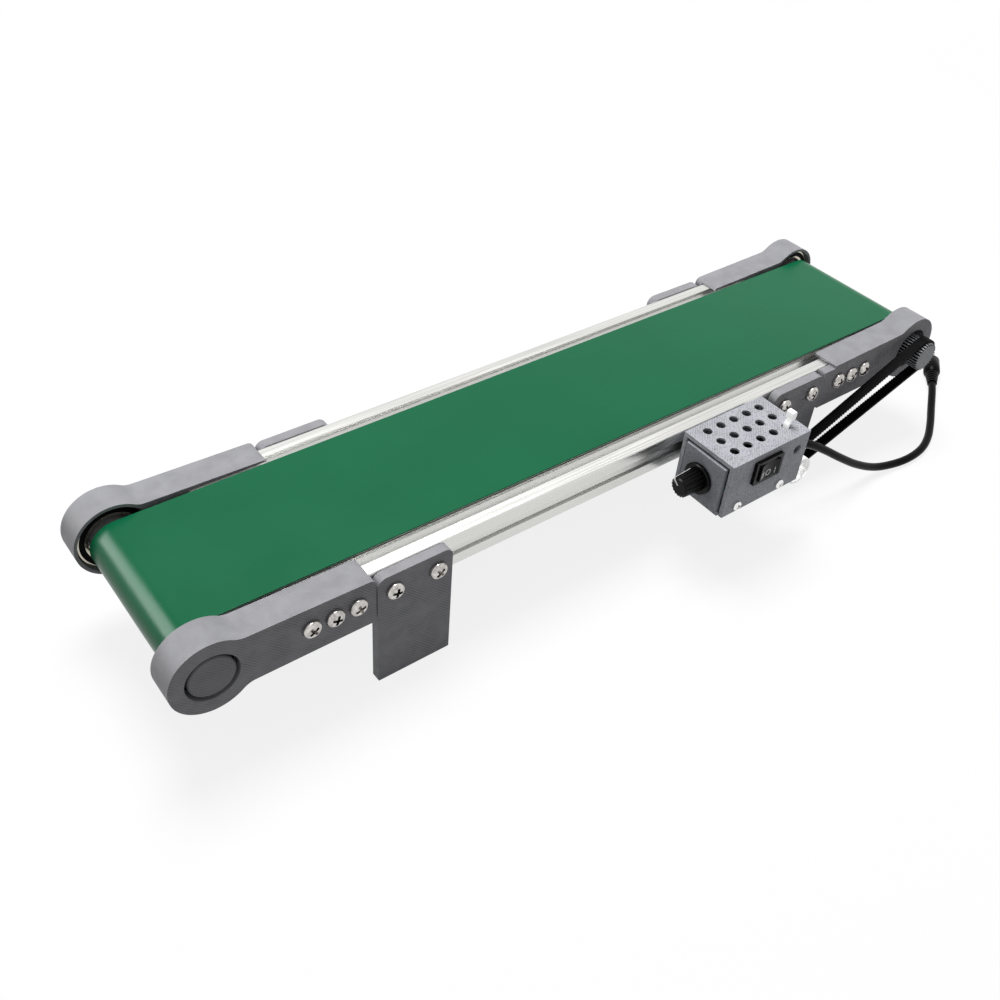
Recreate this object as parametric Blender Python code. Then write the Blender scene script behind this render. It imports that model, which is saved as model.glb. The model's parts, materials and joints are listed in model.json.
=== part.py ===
"""Mini belt conveyor: printed brackets on two slotted rails, a green belt and a side drive.

X runs along the belt from the tail roller to the driven head roller, the drive and the
control box are on the -Y side, and Z = 0 is the surface that the feet stand on.
All sizes are in metres.
"""
import math

import bmesh
import bpy
from mathutils import Matrix, Vector

GAP = 0.0003                    # clearance between neighbouring pieces
EDGE = 0.001                    # rounded rims of turned pieces
PAST = 0.01                     # cutters run this far past what they cut

# frame
ROLLER_CENTRES = 0.478          # tail roller axis to head roller axis
RAIL_SETBACK = 0.039            # rail end from the roller axis
RAIL_SIZE = 0.020               # square slotted profile
RAIL_TOP = 0.070                # height of the rails above the surface
FRAME_WIDTH = 0.107             # outer face to outer face of the rails
SLOT_OPENING = 0.0062
SLOT_LIP = 0.0018
SLOT_CAVITY = 0.011
SLOT_DEPTH = 0.0061
SLOT_SHOULDER = 0.0009          # straight part of the cavity under the lip
CORE_BORE = 0.0044
BED_THICKNESS = 0.003

# belt and rollers
BELT_SIDE_GAP = 0.0025          # belt edge to the bracket bosses
BELT_THICKNESS = 0.0012
BELT_LIFT = 0.0005              # belt underside above the rails
TIE_CLEARANCE = 0.002           # the two belt runs stand this much clear of the cross ties in all
ROLLER_SHOULDER = 0.0006        # drum end beyond each belt edge
BEARING_OUTER = 0.037
BEARING_WIDTH = 0.007
BEARING_RECESS = 0.0025         # bearing face below the boss face

# roller brackets, measured from the roller axis towards the middle
BOSS_WALL = 0.002
BRACKET_WALL = 0.0052           # side plate outside the rail
BRACKET_REACH = 0.011           # inner boss face and lip edge, from the rail's outer face
BORE_CLEARANCE = 0.001          # bracket bore over the journal
ARM_FILLET = 0.010
ARM_RISE_BOSS = 0.003           # arm top above the rails, at the boss
ARM_RISE_END = 0.0016           # and at its end
ARM_DROP = 0.006                # arm bottom below the rails
ARM_CHAMFER = 0.002
ARM_NOSE = 0.0035               # rounding over the arm's end
TAIL_ARM = 0.0815
HEAD_ARM = 0.0865
HEAD_LIP = 0.077                # the head arm's lip stops short of its side plate
BRACKET_SCREWS = (0.0475, 0.0595, 0.0715)

# feet and motor plate
FOOT_WIDTH = 0.042
FOOT_THICKNESS = 0.0057
FOOT_CORNER = 0.005
FOOT_SCREW_PITCH = 0.024
FOOT_TO_ARM = 0.0005            # seam between a foot and the bracket arm beside it

# screws
M5_SHANK = 0.005
M5_HEAD = 0.0095
M5_HEAD_HEIGHT = 0.003
M5_LENGTH = 0.0113              # under the head
M3_SHANK = 0.003
M3_HEAD = 0.0056
M3_HEAD_HEIGHT = 0.0019
M3_LENGTH = 0.007
SCREW_CLEARANCE = 0.0008        # hole diameter over shank diameter

# timing belt drive
TOOTH_PITCH = 0.002
TOOTH_DEPTH = 0.00075
TIP_TO_PITCH = 0.00025          # tooth tips inside the pitch circle
DRIVE_TEETH = 30
MOTOR_TEETH = 20
TIMING_BELT_WIDTH = 0.006
TIMING_BELT_THICKNESS = 0.0014
TIMING_BELT_OUT = 0.0097        # belt edge outside the rail's outer face
PULLEY_END = 0.0177             # drive pulley face outside the rail
PULLEY_CAP = 0.0025             # closed end of its bore
STUB_DIAMETER = 0.008
MOTOR_DROP = 0.0404             # motor axis below the roller axis
MOTOR_DIAMETER = 0.025
GEARBOX_LENGTH = 0.021
MOTOR_CAN_DIAMETER = 0.0240
MOTOR_CAN_LENGTH = 0.031
MOTOR_SHAFT = 0.004
MOTOR_BOSS = 0.007
MOTOR_BOSS_LENGTH = 0.0025
MOTOR_SHAFT_OUT = 0.0168        # shaft end outside the rail
MOTOR_BACK = (0.005, 0.002)     # radius and length of the boss at the motor's back
SHAFT_SOCKET = 0.0045           # motor shaft inside the gearbox
MOTOR_HUB = 0.0155
PULLEY_FLANGE = 0.0022          # flange above the tooth tips
FLANGE_THICKNESS = 0.001
FLANGE_TO_BELT = 0.0004

# control box
BOX_FROM_HEAD = 0.1434          # head-side end of the box from the head roller axis
BOX_LENGTH = 0.0616
BOX_DEPTH = 0.0365
BOX_HEIGHT = 0.0346
BOX_OVER_RAIL = 0.0058          # box top above the rails
BOX_STANDOFF = 0.0058           # box back outside the rail
BOX_WALL = 0.0024
BOX_FLOOR = 0.002
PANEL_RECESS = 0.0005
COVER_SETBACK = 0.0018          # tail end of the cover from the box's tail end
VENT_DIAMETER = 0.006
VENT_PITCH = 0.010
VENT_COLUMNS = 5
VENT_ROWS = 3
VENT_OFFSET = (0.0017, 0.0018)  # middle vent from the box's middle
SIDE_HOLE_DIAMETER = 0.006
SIDE_HOLE = (0.0078, 0.0099)    # in from the box's head end, down from its top
SWITCH_BEZEL = (0.021, 0.015)
SWITCH_BODY = (0.0190, 0.0129)
SWITCH_POCKET = (0.0166, 0.0107)
SWITCH_CENTRE = (0.0291, 0.0112)
SWITCH_BEZEL_HEIGHT = 0.002
SWITCH_DEPTH = 0.014
POCKET_DEPTH = 0.0072
ROCKER_PIVOT = 0.0032           # pivot behind the bezel's face
ROCKER_HALF = 0.0072
ROCKER_RISE = 0.0044            # ends, above the pivot
ROCKER_DISH = 0.0036            # hollow middle, above the pivot
ROCKER_KEEL = 0.0026            # underside, below the pivot
ROCKER_SPINE = 0.0030           # half the flat middle
BOX_SCREWS = (0.0119, 0.0162)   # in from the box's tail end and from its head end
BOX_SCREW_HEIGHT = 0.0046       # above the box's underside
LUG = (0.008, 0.006, 0.0068)
MOUNT_BLOCK = (0.040, 0.018)
KNOB_CENTRE = (0.0170, 0.0150)  # in from the box back, above the box's underside
KNOB_SKIRT = 0.0186
KNOB_SKIRT_HEIGHT = 0.002
KNOB_BASE = 0.0132
KNOB_TOP = 0.0118
KNOB_HEIGHT = 0.0145
KNOB_RIM = 0.0006
KNOB_WELL = 0.004               # hollow under the skirt, over the bushing
POT_BODY = 0.0165
POT_DEPTH = 0.008
POT_BUSHING = 0.007
POT_BUSHING_LENGTH = 0.0058
POT_SHAFT = 0.004
POT_SHAFT_REACH = 0.0044        # shaft end behind the panel's face
BOARD_SETBACK = 0.007           # board ends from the panels
BOARD = (0.022, 0.0016)
REGULATOR = (0.014, 0.010, 0.009)
TERMINALS = (0.008, 0.014, 0.007)
BLOCK_INSET = 0.006             # both blocks from the board's ends and its back edge
TIE_WIDTH = 0.0046
TIE_THICKNESS = 0.0012
TIE_BELOW = 0.003               # strap end under the cover's top wall
TIE_BEND = 0.0008               # strap stands straight this far above the cover
TIE_LEAN = 0.0032               # its head's offset towards the head roller
TIE_HEAD = (0.0035, 0.0045)     # across and along the strap
TIE_HEAD_START = 0.0052         # head above the cover
LOOP_RADIUS = 0.0086
LOOP_CENTRE = (0.0051, 0.0020)  # past the box's end, above its underside
LOOP_END = -150                 # degrees, where the strap's end stops under the box

# power lead
CORD_DIAMETER = 0.005
CORD_EXIT = (0.0207, 0.0083)    # in from the box back, above the box's underside
GROMMET_FLANGE = 0.011
GROMMET_NECK = 0.0078
GROMMET_NOSE = 0.0066
GROMMET_LENGTH = 0.0080         # outside the box
GROMMET_FLANGE_LENGTH = 0.0016
PLUG_BODY = 0.011
PLUG_BODY_LENGTH = 0.017
PLUG_RELIEF = 0.0084
PLUG_RELIEF_LENGTH = 0.012
PLUG_BARREL = 0.0055
PLUG_BARREL_LENGTH = 0.0095
PLUG_CLEAR = 0.0001             # plug above the surface
CORD_ROUTE = (
    (0.1034, -0.0800, 0.0495), (0.1130, -0.0804, 0.0485), (0.1230, -0.0820, 0.0448),
    (0.1360, -0.0846, 0.0367), (0.1510, -0.0874, 0.0262), (0.1680, -0.0896, 0.0152),
    (0.1860, -0.0916, 0.0065), (0.2030, -0.0940, 0.0030), (0.2180, -0.0956, 0.0026),
    (0.2330, -0.0940, 0.0026), (0.2470, -0.0886, 0.0026), (0.2610, -0.0801, 0.0028),
    (0.2750, -0.0702, 0.0034), (0.2890, -0.0600, 0.0050), (0.2964, -0.0543, 0.0056))

# worked out from the sizes above
HALF_SPAN = ROLLER_CENTRES / 2
HALF_WIDTH = FRAME_WIDTH / 2
HALF_RAIL = HALF_SPAN - RAIL_SETBACK
ROLLER_DIAMETER = RAIL_SIZE + BED_THICKNESS + TIE_CLEARANCE
BELT_WIDTH = FRAME_WIDTH - 2 * (BRACKET_REACH + BELT_SIDE_GAP)
BRACKET_BORE = ROLLER_DIAMETER + BORE_CLEARANCE
TAIL_FOOT = TAIL_ARM + FOOT_TO_ARM + FOOT_WIDTH / 2
HEAD_FOOT = HEAD_ARM + FOOT_TO_ARM + FOOT_WIDTH / 2
HEAD_FAR_FOOT = HEAD_LIP + FOOT_TO_ARM + FOOT_WIDTH / 2
AXIS_Z = RAIL_TOP + BELT_LIFT - GAP - ROLLER_DIAMETER / 2
BOSS_RADIUS = BEARING_OUTER / 2 + BOSS_WALL
FOOT_SCREW_Z = RAIL_TOP - RAIL_SIZE / 2
TIE_TOP = RAIL_TOP - BED_THICKNESS - GAP
MOTOR_X = HALF_SPAN - HEAD_FOOT
MOTOR_Z = AXIS_Z - MOTOR_DROP
BOX_X1 = HALF_SPAN - BOX_FROM_HEAD
BOX_X0 = BOX_X1 - BOX_LENGTH
BOX_BACK = -HALF_WIDTH - BOX_STANDOFF
BOX_FRONT = BOX_BACK - BOX_DEPTH
BOX_TOP = RAIL_TOP + BOX_OVER_RAIL
BOX_BOTTOM = BOX_TOP - BOX_HEIGHT
BEZEL_FACE = BOX_FRONT - GAP - SWITCH_BEZEL_HEIGHT
ROCKER_FRONT = BEZEL_FACE + ROCKER_PIVOT - ROCKER_RISE
SCREWS_BACK = HALF_WIDTH + FOOT_THICKNESS + 2 * GAP + M5_HEAD_HEIGHT
ORIGIN_Y = (ROCKER_FRONT + SCREWS_BACK) / 2     # the origin is midway between these two

ROUND = 24                      # sides of the large round pieces
MEDIUM = 16                     # sides of the motor, the knob and the plug
SMALL = 10                      # sides of screws and small holes


def clear_scene():
    for old in list(bpy.data.objects):
        bpy.data.objects.remove(old, do_unlink=True)


def finish(name, colour, roughness, metallic=0.0):
    """A plain material in the piece's own colour."""
    material = bpy.data.materials.new(name)
    material.use_nodes = True
    shader = material.node_tree.nodes["Principled BSDF"]
    shader.inputs["Base Color"].default_value = (*colour, 1.0)
    shader.inputs["Roughness"].default_value = roughness
    shader.inputs["Metallic"].default_value = metallic
    return material


def add_object(name, bm, material, smooth=False, cutter=False):
    """Turn a bmesh into a named object that stands on the conveyor's own empty."""
    bmesh.ops.recalc_face_normals(bm, faces=bm.faces)
    mesh = bpy.data.meshes.new(name)
    bm.to_mesh(mesh)
    bm.free()
    if smooth:
        mesh.shade_smooth()
        mesh.set_sharp_from_angle(angle=math.radians(35))
    piece = bpy.data.objects.new(name, mesh)
    bpy.context.scene.collection.objects.link(piece)
    piece.parent = bpy.data.objects["conveyor"]
    if cutter:
        piece.hide_render = True
        piece.display_type = "WIRE"
    else:
        mesh.materials.append(material)
    return piece


def move_origin(piece, point):
    """Put a moving piece's origin on its joint axis without moving the piece."""
    piece.data.transform(Matrix.Translation(-Vector(point)))
    piece.location = point


def cut(piece, cutter, operation="DIFFERENCE"):
    boolean = piece.modifiers.new(cutter.name, "BOOLEAN")
    boolean.operation = operation
    boolean.object = cutter


def add_box(bm, low, high):
    low = Vector(low)
    high = Vector(high)
    size = Matrix.Diagonal((*(high - low), 1.0))
    bmesh.ops.create_cube(bm, size=1.0, matrix=Matrix.Translation((low + high) / 2) @ size)
    return bm


def add_prism(bm, outline, axis, start, end):
    """Extrude a closed outline along X, Y or Z; it lies in the other two, in that order."""
    def place(point, along):
        values = list(point)
        values.insert("XYZ".index(axis), along)
        return values
    corners = [bm.verts.new(place(point, start)) for point in outline]
    face = bm.faces.new(corners)
    grown = bmesh.ops.extrude_face_region(bm, geom=[face])
    moved = [item for item in grown["geom"] if isinstance(item, bmesh.types.BMVert)]
    step = Vector(place((0.0, 0.0), end - start))
    bmesh.ops.translate(bm, verts=moved, vec=step)
    return bm


def add_turned(bm, profile, sides, axis, centre):
    """Spin a (radius, along) profile about X or Y; radius 0 closes an end on the axis."""
    direction = Vector((1, 0, 0)) if axis == "X" else Vector((0, 1, 0))
    out = Vector((0, 0, 1))
    centre = Vector(centre)
    points = [bm.verts.new(centre + direction * along + out * radius) for radius, along in profile]
    closed = profile[0][0] > 0
    edges = [bm.edges.new(pair) for pair in zip(points, points[1:])]
    if closed:
        edges.append(bm.edges.new((points[-1], points[0])))
    bmesh.ops.spin(bm, geom=points + edges, cent=centre, axis=direction, dvec=(0, 0, 0),
                   angle=2 * math.pi, steps=sides, use_merge=True, use_duplicate=False)
    bmesh.ops.remove_doubles(bm, verts=bm.verts, dist=0.00001)
    return bm


def add_rod(bm, radius, sides, axis, start, end, centre):
    """A plain round bar from start to end along X or Y."""
    profile = ((0.0, start), (radius, start), (radius, end), (0.0, end))
    return add_turned(bm, profile, sides, axis, centre)


def arc(centre, radius, first, last, steps):
    """Points along an arc, both ends included, angles in radians."""
    turn = (last - first) / steps
    return [(centre[0] + radius * math.cos(first + turn * i),
             centre[1] + radius * math.sin(first + turn * i)) for i in range(steps + 1)]


def loop_outline(big, big_radius, small, small_radius, steps):
    """Outline of a belt round two circles in the XZ plane, the first one further along X."""
    across = math.atan2(big[1] - small[1], big[0] - small[0])
    apart = math.hypot(big[0] - small[0], big[1] - small[1])
    lean = math.acos((big_radius - small_radius) / apart)
    first = arc(big, big_radius, across - math.pi + lean, across + math.pi - lean, steps)
    second = arc(small, small_radius, across + math.pi - lean, across + math.pi + lean, steps)
    return first + second


def add_band(bm, inner, outer, start, end):
    """A closed belt between two outlines with the same number of points, from start to end in Y."""
    count = len(inner)
    rings = []
    for outline, along in ((inner, start), (outer, start), (outer, end), (inner, end)):
        rings.append([bm.verts.new((x, along, z)) for x, z in outline])
    for ring, following in zip(rings, rings[1:] + rings[:1]):
        for i in range(count):
            after = (i + 1) % count
            bm.faces.new((ring[i], ring[after], following[after], following[i]))
    return bm


def bar_cutter(name, diameter, axis, start, end, centre, sides=SMALL):
    bm = add_rod(bmesh.new(), diameter / 2, sides, axis, start, end, centre)
    return add_object(name, bm, None, cutter=True)


def outside(side, distance):
    """Y of a face this far outside the rail's outer face; side is -1 near the drive, or 1."""
    return side * (HALF_WIDTH + distance)


# ---------------------------------------------------------------- rails, ties and bed

def slot_outline():
    """The square slotted profile's section, centred on 0, 0."""
    half = RAIL_SIZE / 2
    mouth = SLOT_OPENING / 2
    wide = SLOT_CAVITY / 2
    deep = half - SLOT_DEPTH
    under = half - SLOT_LIP
    turn_in = under - SLOT_SHOULDER
    floor = wide - (turn_in - deep)
    quarter = [(half, -half), (half, -mouth), (under, -mouth), (under, -wide), (turn_in, -wide),
               (deep, -floor), (deep, floor), (turn_in, wide), (under, wide), (under, mouth),
               (half, mouth)]
    points = []
    for turn in range(4):
        spin = Matrix.Rotation(turn * math.pi / 2, 2)
        points += [tuple(spin @ Vector(point)) for point in quarter]
    return points


def add_profile(name, axis, start, end, centre, material):
    """A length of slotted profile along X or Y with its core bore."""
    outline = [(centre[0] + a, centre[1] + b) for a, b in slot_outline()]
    piece = add_object(name, add_prism(bmesh.new(), outline, axis, start, end), material)
    middle = (0, centre[0], centre[1]) if axis == "X" else (centre[0], 0, centre[1])
    cut(piece, bar_cutter(name + "_core", CORE_BORE, axis, start - PAST, end + PAST, middle))


def build_frame(aluminium, acrylic):
    middle = HALF_WIDTH - RAIL_SIZE / 2
    for name, side in (("rail_near", -1), ("rail_far", 1)):
        add_profile(name, "X", -HALF_RAIL, HALF_RAIL,
                    (side * middle, RAIL_TOP - RAIL_SIZE / 2), aluminium)
    reach = HALF_WIDTH - RAIL_SIZE - GAP
    for name, along in (("cross_tie_tail", TAIL_FOOT - HALF_SPAN), ("cross_tie_head", MOTOR_X)):
        add_profile(name, "Y", -reach, reach, (along, TIE_TOP - RAIL_SIZE / 2), aluminium)
    bed = add_box(bmesh.new(), (-HALF_RAIL, -reach, RAIL_TOP - BED_THICKNESS),
                  (HALF_RAIL, reach, RAIL_TOP))
    add_object("slider_bed", bed, acrylic)


# ---------------------------------------------------------------- roller brackets and bearings

def bracket_outline(arm):
    """Boss and arm seen from the side: distance towards the middle, height over the axis."""
    top_boss = RAIL_TOP + ARM_RISE_BOSS - AXIS_Z
    top_end = RAIL_TOP + ARM_RISE_END - AXIS_Z
    bottom = AXIS_Z - RAIL_TOP + RAIL_SIZE + ARM_DROP
    span = BOSS_RADIUS + ARM_FILLET
    top_x = math.sqrt(span ** 2 - (top_boss + ARM_FILLET) ** 2)
    low_x = math.sqrt(span ** 2 - (bottom + ARM_FILLET) ** 2)
    top_turn = math.atan2(top_boss + ARM_FILLET, top_x)
    low_turn = math.atan2(bottom + ARM_FILLET, low_x)
    points = arc((top_x, top_boss + ARM_FILLET), ARM_FILLET, -math.pi / 2, top_turn - math.pi, 4)
    points += arc((0, 0), BOSS_RADIUS, top_turn, 2 * math.pi - low_turn, ROUND)[1:]
    points += arc((low_x, -bottom - ARM_FILLET), ARM_FILLET, math.pi - low_turn, math.pi / 2, 4)[1:]
    points += [(arm - ARM_CHAMFER, -bottom), (arm, -bottom + ARM_CHAMFER)]
    return points + arc((arm - ARM_NOSE, top_end - ARM_NOSE), ARM_NOSE, 0.0, math.pi / 2, 4)


def build_bracket(name, end, side, arm, lip, material):
    """end is -1 at the tail and 1 at the head, side is -1 near the drive and 1 on the far side."""
    axis_x = end * HALF_SPAN
    outer = outside(side, GAP + BRACKET_WALL)
    inner = outside(side, -BRACKET_REACH)
    outline = [(axis_x - end * s, AXIS_Z + z) for s, z in bracket_outline(arm)]
    bracket = add_object(name, add_prism(bmesh.new(), outline, "Y", outer, inner), material, smooth=True)

    def box_cutter(label, near, far, low, high, start, stop):
        """near and far are distances from the axis, start and stop distances outside the rail."""
        xs = sorted((axis_x - end * near, axis_x - end * far))
        ys = sorted((outside(side, start), outside(side, stop)))
        bm = add_box(bmesh.new(), (xs[0], ys[0], low), (xs[1], ys[1], high))
        cut(bracket, add_object(name + label, bm, None, cutter=True))

    for number, s in enumerate(BRACKET_SCREWS, 1):
        hole = (axis_x - end * s, 0, FOOT_SCREW_Z)
        cut(bracket, bar_cutter(f"{name}_hole_{number}", M5_SHANK + SCREW_CLEARANCE, "Y",
                                *sorted((outside(side, PAST), outside(side, -PAST))), hole))
    rail_end = RAIL_SETBACK - GAP
    box_cutter("_rail", rail_end, arm + PAST, RAIL_TOP - RAIL_SIZE - 2 * ARM_DROP, RAIL_TOP + GAP,
               GAP, -BRACKET_REACH - PAST)
    if lip < arm:
        box_cutter("_step", lip, arm + PAST, RAIL_TOP, RAIL_TOP + PAST, PAST, -BRACKET_REACH - PAST)
    seat_floor = BRACKET_REACH - BEARING_RECESS - BEARING_WIDTH - GAP
    centre = (axis_x, 0, AXIS_Z)
    cut(bracket, bar_cutter(name + "_seat", BEARING_OUTER + 2 * GAP, "Y",
                            *sorted((outside(side, -seat_floor), outside(side, -BRACKET_REACH - PAST))),
                            centre, ROUND))
    cut(bracket, bar_cutter(name + "_bore", BRACKET_BORE, "Y",
                            *sorted((outside(side, PAST), outside(side, -seat_floor - BOSS_WALL))),
                            centre, ROUND))


def build_bearing(name, end, side, material):
    """One deep-groove bearing pressed into the bracket's seat."""
    face = -BRACKET_REACH + BEARING_RECESS
    start, stop = sorted((outside(side, face), outside(side, face + BEARING_WIDTH)))
    hole = ROLLER_DIAMETER / 2
    profile = ((hole, start), (BEARING_OUTER / 2, start), (BEARING_OUTER / 2, stop), (hole, stop))
    bm = add_turned(bmesh.new(), profile, ROUND, "Y", (end * HALF_SPAN, 0, AXIS_Z))
    add_object(name, bm, material, smooth=True)


def build_brackets(printed, steel):
    for end_name, end, side_name, side, arm, lip in (("tail", -1, "near", -1, TAIL_ARM, TAIL_ARM),
                                                     ("tail", -1, "far", 1, TAIL_ARM, TAIL_ARM),
                                                     ("head", 1, "near", -1, HEAD_ARM, HEAD_LIP),
                                                     ("head", 1, "far", 1, HEAD_LIP, HEAD_LIP)):
        build_bracket(f"{end_name}_bracket_{side_name}", end, side, arm, lip, printed)
        build_bearing(f"{end_name}_bearing_{side_name}", end, side, steel)


# ---------------------------------------------------------------- rollers and belt

def build_roller(name, end, near_end, stub, material):
    """Drum, two journals in the bearings and, on the driven one, a stub for its pulley."""
    drum = BELT_WIDTH / 2 + ROLLER_SHOULDER
    radius = ROLLER_DIAMETER / 2
    journal = radius - GAP
    far_end = outside(1, BRACKET_WALL)
    profile = [(0.0, outside(-1, near_end)), (journal, outside(-1, near_end)), (journal, -drum),
               (radius, -drum), (radius, drum), (journal, drum), (journal, far_end), (0.0, far_end)]
    if stub:
        half = STUB_DIAMETER / 2
        profile[0:1] = [(0.0, outside(-1, stub)), (half, outside(-1, stub)), (half, outside(-1, near_end))]
    axis = (end * HALF_SPAN, 0, AXIS_Z)
    roller = add_object(name, add_turned(bmesh.new(), profile, ROUND, "Y", axis), material, smooth=True)
    move_origin(roller, axis)


def build_belt(material):
    head = (HALF_SPAN, AXIS_Z)
    tail = (-HALF_SPAN, AXIS_Z)
    inside = ROLLER_DIAMETER / 2 + GAP
    inner = loop_outline(head, inside, tail, inside, 16)
    outer = loop_outline(head, inside + BELT_THICKNESS, tail, inside + BELT_THICKNESS, 16)
    bm = add_band(bmesh.new(), inner, outer, -BELT_WIDTH / 2, BELT_WIDTH / 2)
    add_object("conveyor_belt", bm, material, smooth=True)


# ---------------------------------------------------------------- feet and screws

def foot_outline(centre):
    half = FOOT_WIDTH / 2
    high = RAIL_TOP - FOOT_CORNER
    points = [(centre - half, 0.0), (centre + half, 0.0)]
    points += arc((centre + half - FOOT_CORNER, high), FOOT_CORNER, 0.0, math.pi / 2, 4)
    points += arc((centre - half + FOOT_CORNER, high), FOOT_CORNER, math.pi / 2, math.pi, 4)
    return points


def build_foot(name, centre, side, material):
    start, stop = outside(side, GAP), outside(side, GAP + FOOT_THICKNESS)
    foot = add_object(name, add_prism(bmesh.new(), foot_outline(centre), "Y", start, stop), material)
    ends = sorted((outside(side, PAST), outside(side, -PAST)))
    for number, step in enumerate((-0.5, 0.5), 1):
        hole = (centre + step * FOOT_SCREW_PITCH, 0, FOOT_SCREW_Z)
        cut(foot, bar_cutter(f"{name}_hole_{number}", M5_SHANK + SCREW_CLEARANCE, "Y", *ends, hole))
    return foot


def build_feet(printed):
    build_foot("tail_foot_near", TAIL_FOOT - HALF_SPAN, -1, printed)
    build_foot("tail_foot_far", TAIL_FOOT - HALF_SPAN, 1, printed)
    build_foot("head_foot_far", HALF_SPAN - HEAD_FAR_FOOT, 1, printed)
    plate = build_foot("motor_plate", MOTOR_X, -1, printed)
    ends = sorted((outside(-1, PAST), outside(-1, -PAST)))
    cut(plate, bar_cutter("motor_plate_boss_hole", MOTOR_BOSS + 2 * GAP, "Y", *ends,
                          (MOTOR_X, 0, MOTOR_Z), MEDIUM))


def add_screw(name, spot, axis, direction, sizes, material):
    """A pan head screw; spot is under its head, direction points out of the surface."""
    shank, head, height, length = sizes
    profile = ((0.0, -length), (shank / 2, -length), (shank / 2, 0.0), (head / 2, 0.0),
               (head * 3 / 8, height), (0.0, height))
    profile = [(radius, along * direction) for radius, along in profile]
    bm = add_turned(bmesh.new(), profile, SMALL, axis, spot)
    add_object(name, bm, material, smooth=True)


def build_frame_screws(steel):
    sizes = (M5_SHANK, M5_HEAD, M5_HEAD_HEIGHT, M5_LENGTH)
    for side_name, side, head_foot in (("near", -1, HEAD_FOOT), ("far", 1, HEAD_FAR_FOOT)):
        for end_name, end, centre in (("tail", -1, TAIL_FOOT), ("head", 1, head_foot)):
            under_bracket = outside(side, BRACKET_WALL + 2 * GAP)
            under_foot = outside(side, FOOT_THICKNESS + 2 * GAP)
            for number, s in enumerate(BRACKET_SCREWS, 1):
                spot = (end * (HALF_SPAN - s), under_bracket, FOOT_SCREW_Z)
                add_screw(f"{end_name}_bracket_screw_{side_name}_{number}", spot, "Y", side, sizes, steel)
            for number, step in enumerate((0.5, -0.5), 1):
                spot = (end * (HALF_SPAN - centre - step * FOOT_SCREW_PITCH), under_foot, FOOT_SCREW_Z)
                add_screw(f"{end_name}_foot_screw_{side_name}_{number}", spot, "Y", side, sizes, steel)


# ---------------------------------------------------------------- motor and timing belt

def pulley_radius(teeth):
    """Tip radius of a pulley with this many teeth."""
    return teeth * TOOTH_PITCH / (2 * math.pi) - TIP_TO_PITCH


def gear_outline(centre, teeth):
    tip = pulley_radius(teeth)
    root = tip - TOOTH_DEPTH
    points = []
    for tooth in range(teeth):
        for share, radius in ((0.10, tip), (0.50, tip), (0.62, root), (0.98, root)):
            angle = 2 * math.pi * (tooth + share) / teeth
            points.append((centre[0] + radius * math.cos(angle), centre[1] + radius * math.sin(angle)))
    return points


def build_drive(grey, black, steel, zinc):
    axis = (HALF_SPAN, 0, AXIS_Z)
    start = outside(-1, PULLEY_END)
    stop = outside(-1, GAP)
    outline = gear_outline((HALF_SPAN, AXIS_Z), DRIVE_TEETH)
    pulley = add_object("drive_pulley", add_prism(bmesh.new(), outline, "Y", start, stop), grey)
    cut(pulley, bar_cutter("drive_pulley_bore", STUB_DIAMETER + 2 * GAP, "Y", start + PULLEY_CAP,
                           stop + PAST, axis, MEDIUM))
    move_origin(pulley, axis)

    motor = (MOTOR_X, 0, MOTOR_Z)
    belt_start = outside(-1, TIMING_BELT_OUT + TIMING_BELT_WIDTH)
    belt_stop = outside(-1, TIMING_BELT_OUT)
    tip = pulley_radius(MOTOR_TEETH)
    flange = tip + PULLEY_FLANGE
    near = belt_start - FLANGE_TO_BELT
    far = belt_stop + FLANGE_TO_BELT
    outline = gear_outline((MOTOR_X, MOTOR_Z), MOTOR_TEETH)
    small = add_object("motor_pulley", add_prism(bmesh.new(), outline, "Y", near - FLANGE_THICKNESS / 2,
                                                 far + FLANGE_THICKNESS / 2), zinc)
    inner_face = outside(-1, 3 * GAP + FOOT_THICKNESS)
    core = MOTOR_SHAFT / 4
    hub = ((core, far), (flange, far), (flange, far + FLANGE_THICKNESS),
           (MOTOR_HUB / 2, far + FLANGE_THICKNESS), (MOTOR_HUB / 2, inner_face), (core, inner_face))
    cap = ((core, near - FLANGE_THICKNESS), (flange, near - FLANGE_THICKNESS), (flange, near), (core, near))
    for label, profile in (("hub", hub), ("cap", cap)):
        bm = add_turned(bmesh.new(), profile, MEDIUM, "Y", motor)
        cut(small, add_object("motor_pulley_" + label, bm, None, cutter=True), "UNION")
    cut(small, bar_cutter("motor_pulley_bore", MOTOR_SHAFT + 2 * GAP, "Y", belt_start - PAST,
                          belt_stop + PAST, motor, SMALL))
    move_origin(small, motor)

    shaft_end = outside(-1, MOTOR_SHAFT_OUT)
    shaft = add_rod(bmesh.new(), MOTOR_SHAFT / 2, SMALL, "Y", shaft_end, outside(-1, GAP - SHAFT_SOCKET),
                    motor)
    move_origin(add_object("motor_shaft", shaft, steel, smooth=True), motor)

    inner = loop_outline(axis[::2], pulley_radius(DRIVE_TEETH) + GAP, motor[::2], tip + GAP, 12)
    outer = loop_outline(axis[::2], pulley_radius(DRIVE_TEETH) + GAP + TIMING_BELT_THICKNESS,
                         motor[::2], tip + GAP + TIMING_BELT_THICKNESS, 12)
    bm = add_band(bmesh.new(), inner, outer, belt_start, belt_stop)
    add_object("timing_belt", bm, black, smooth=True)


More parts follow.
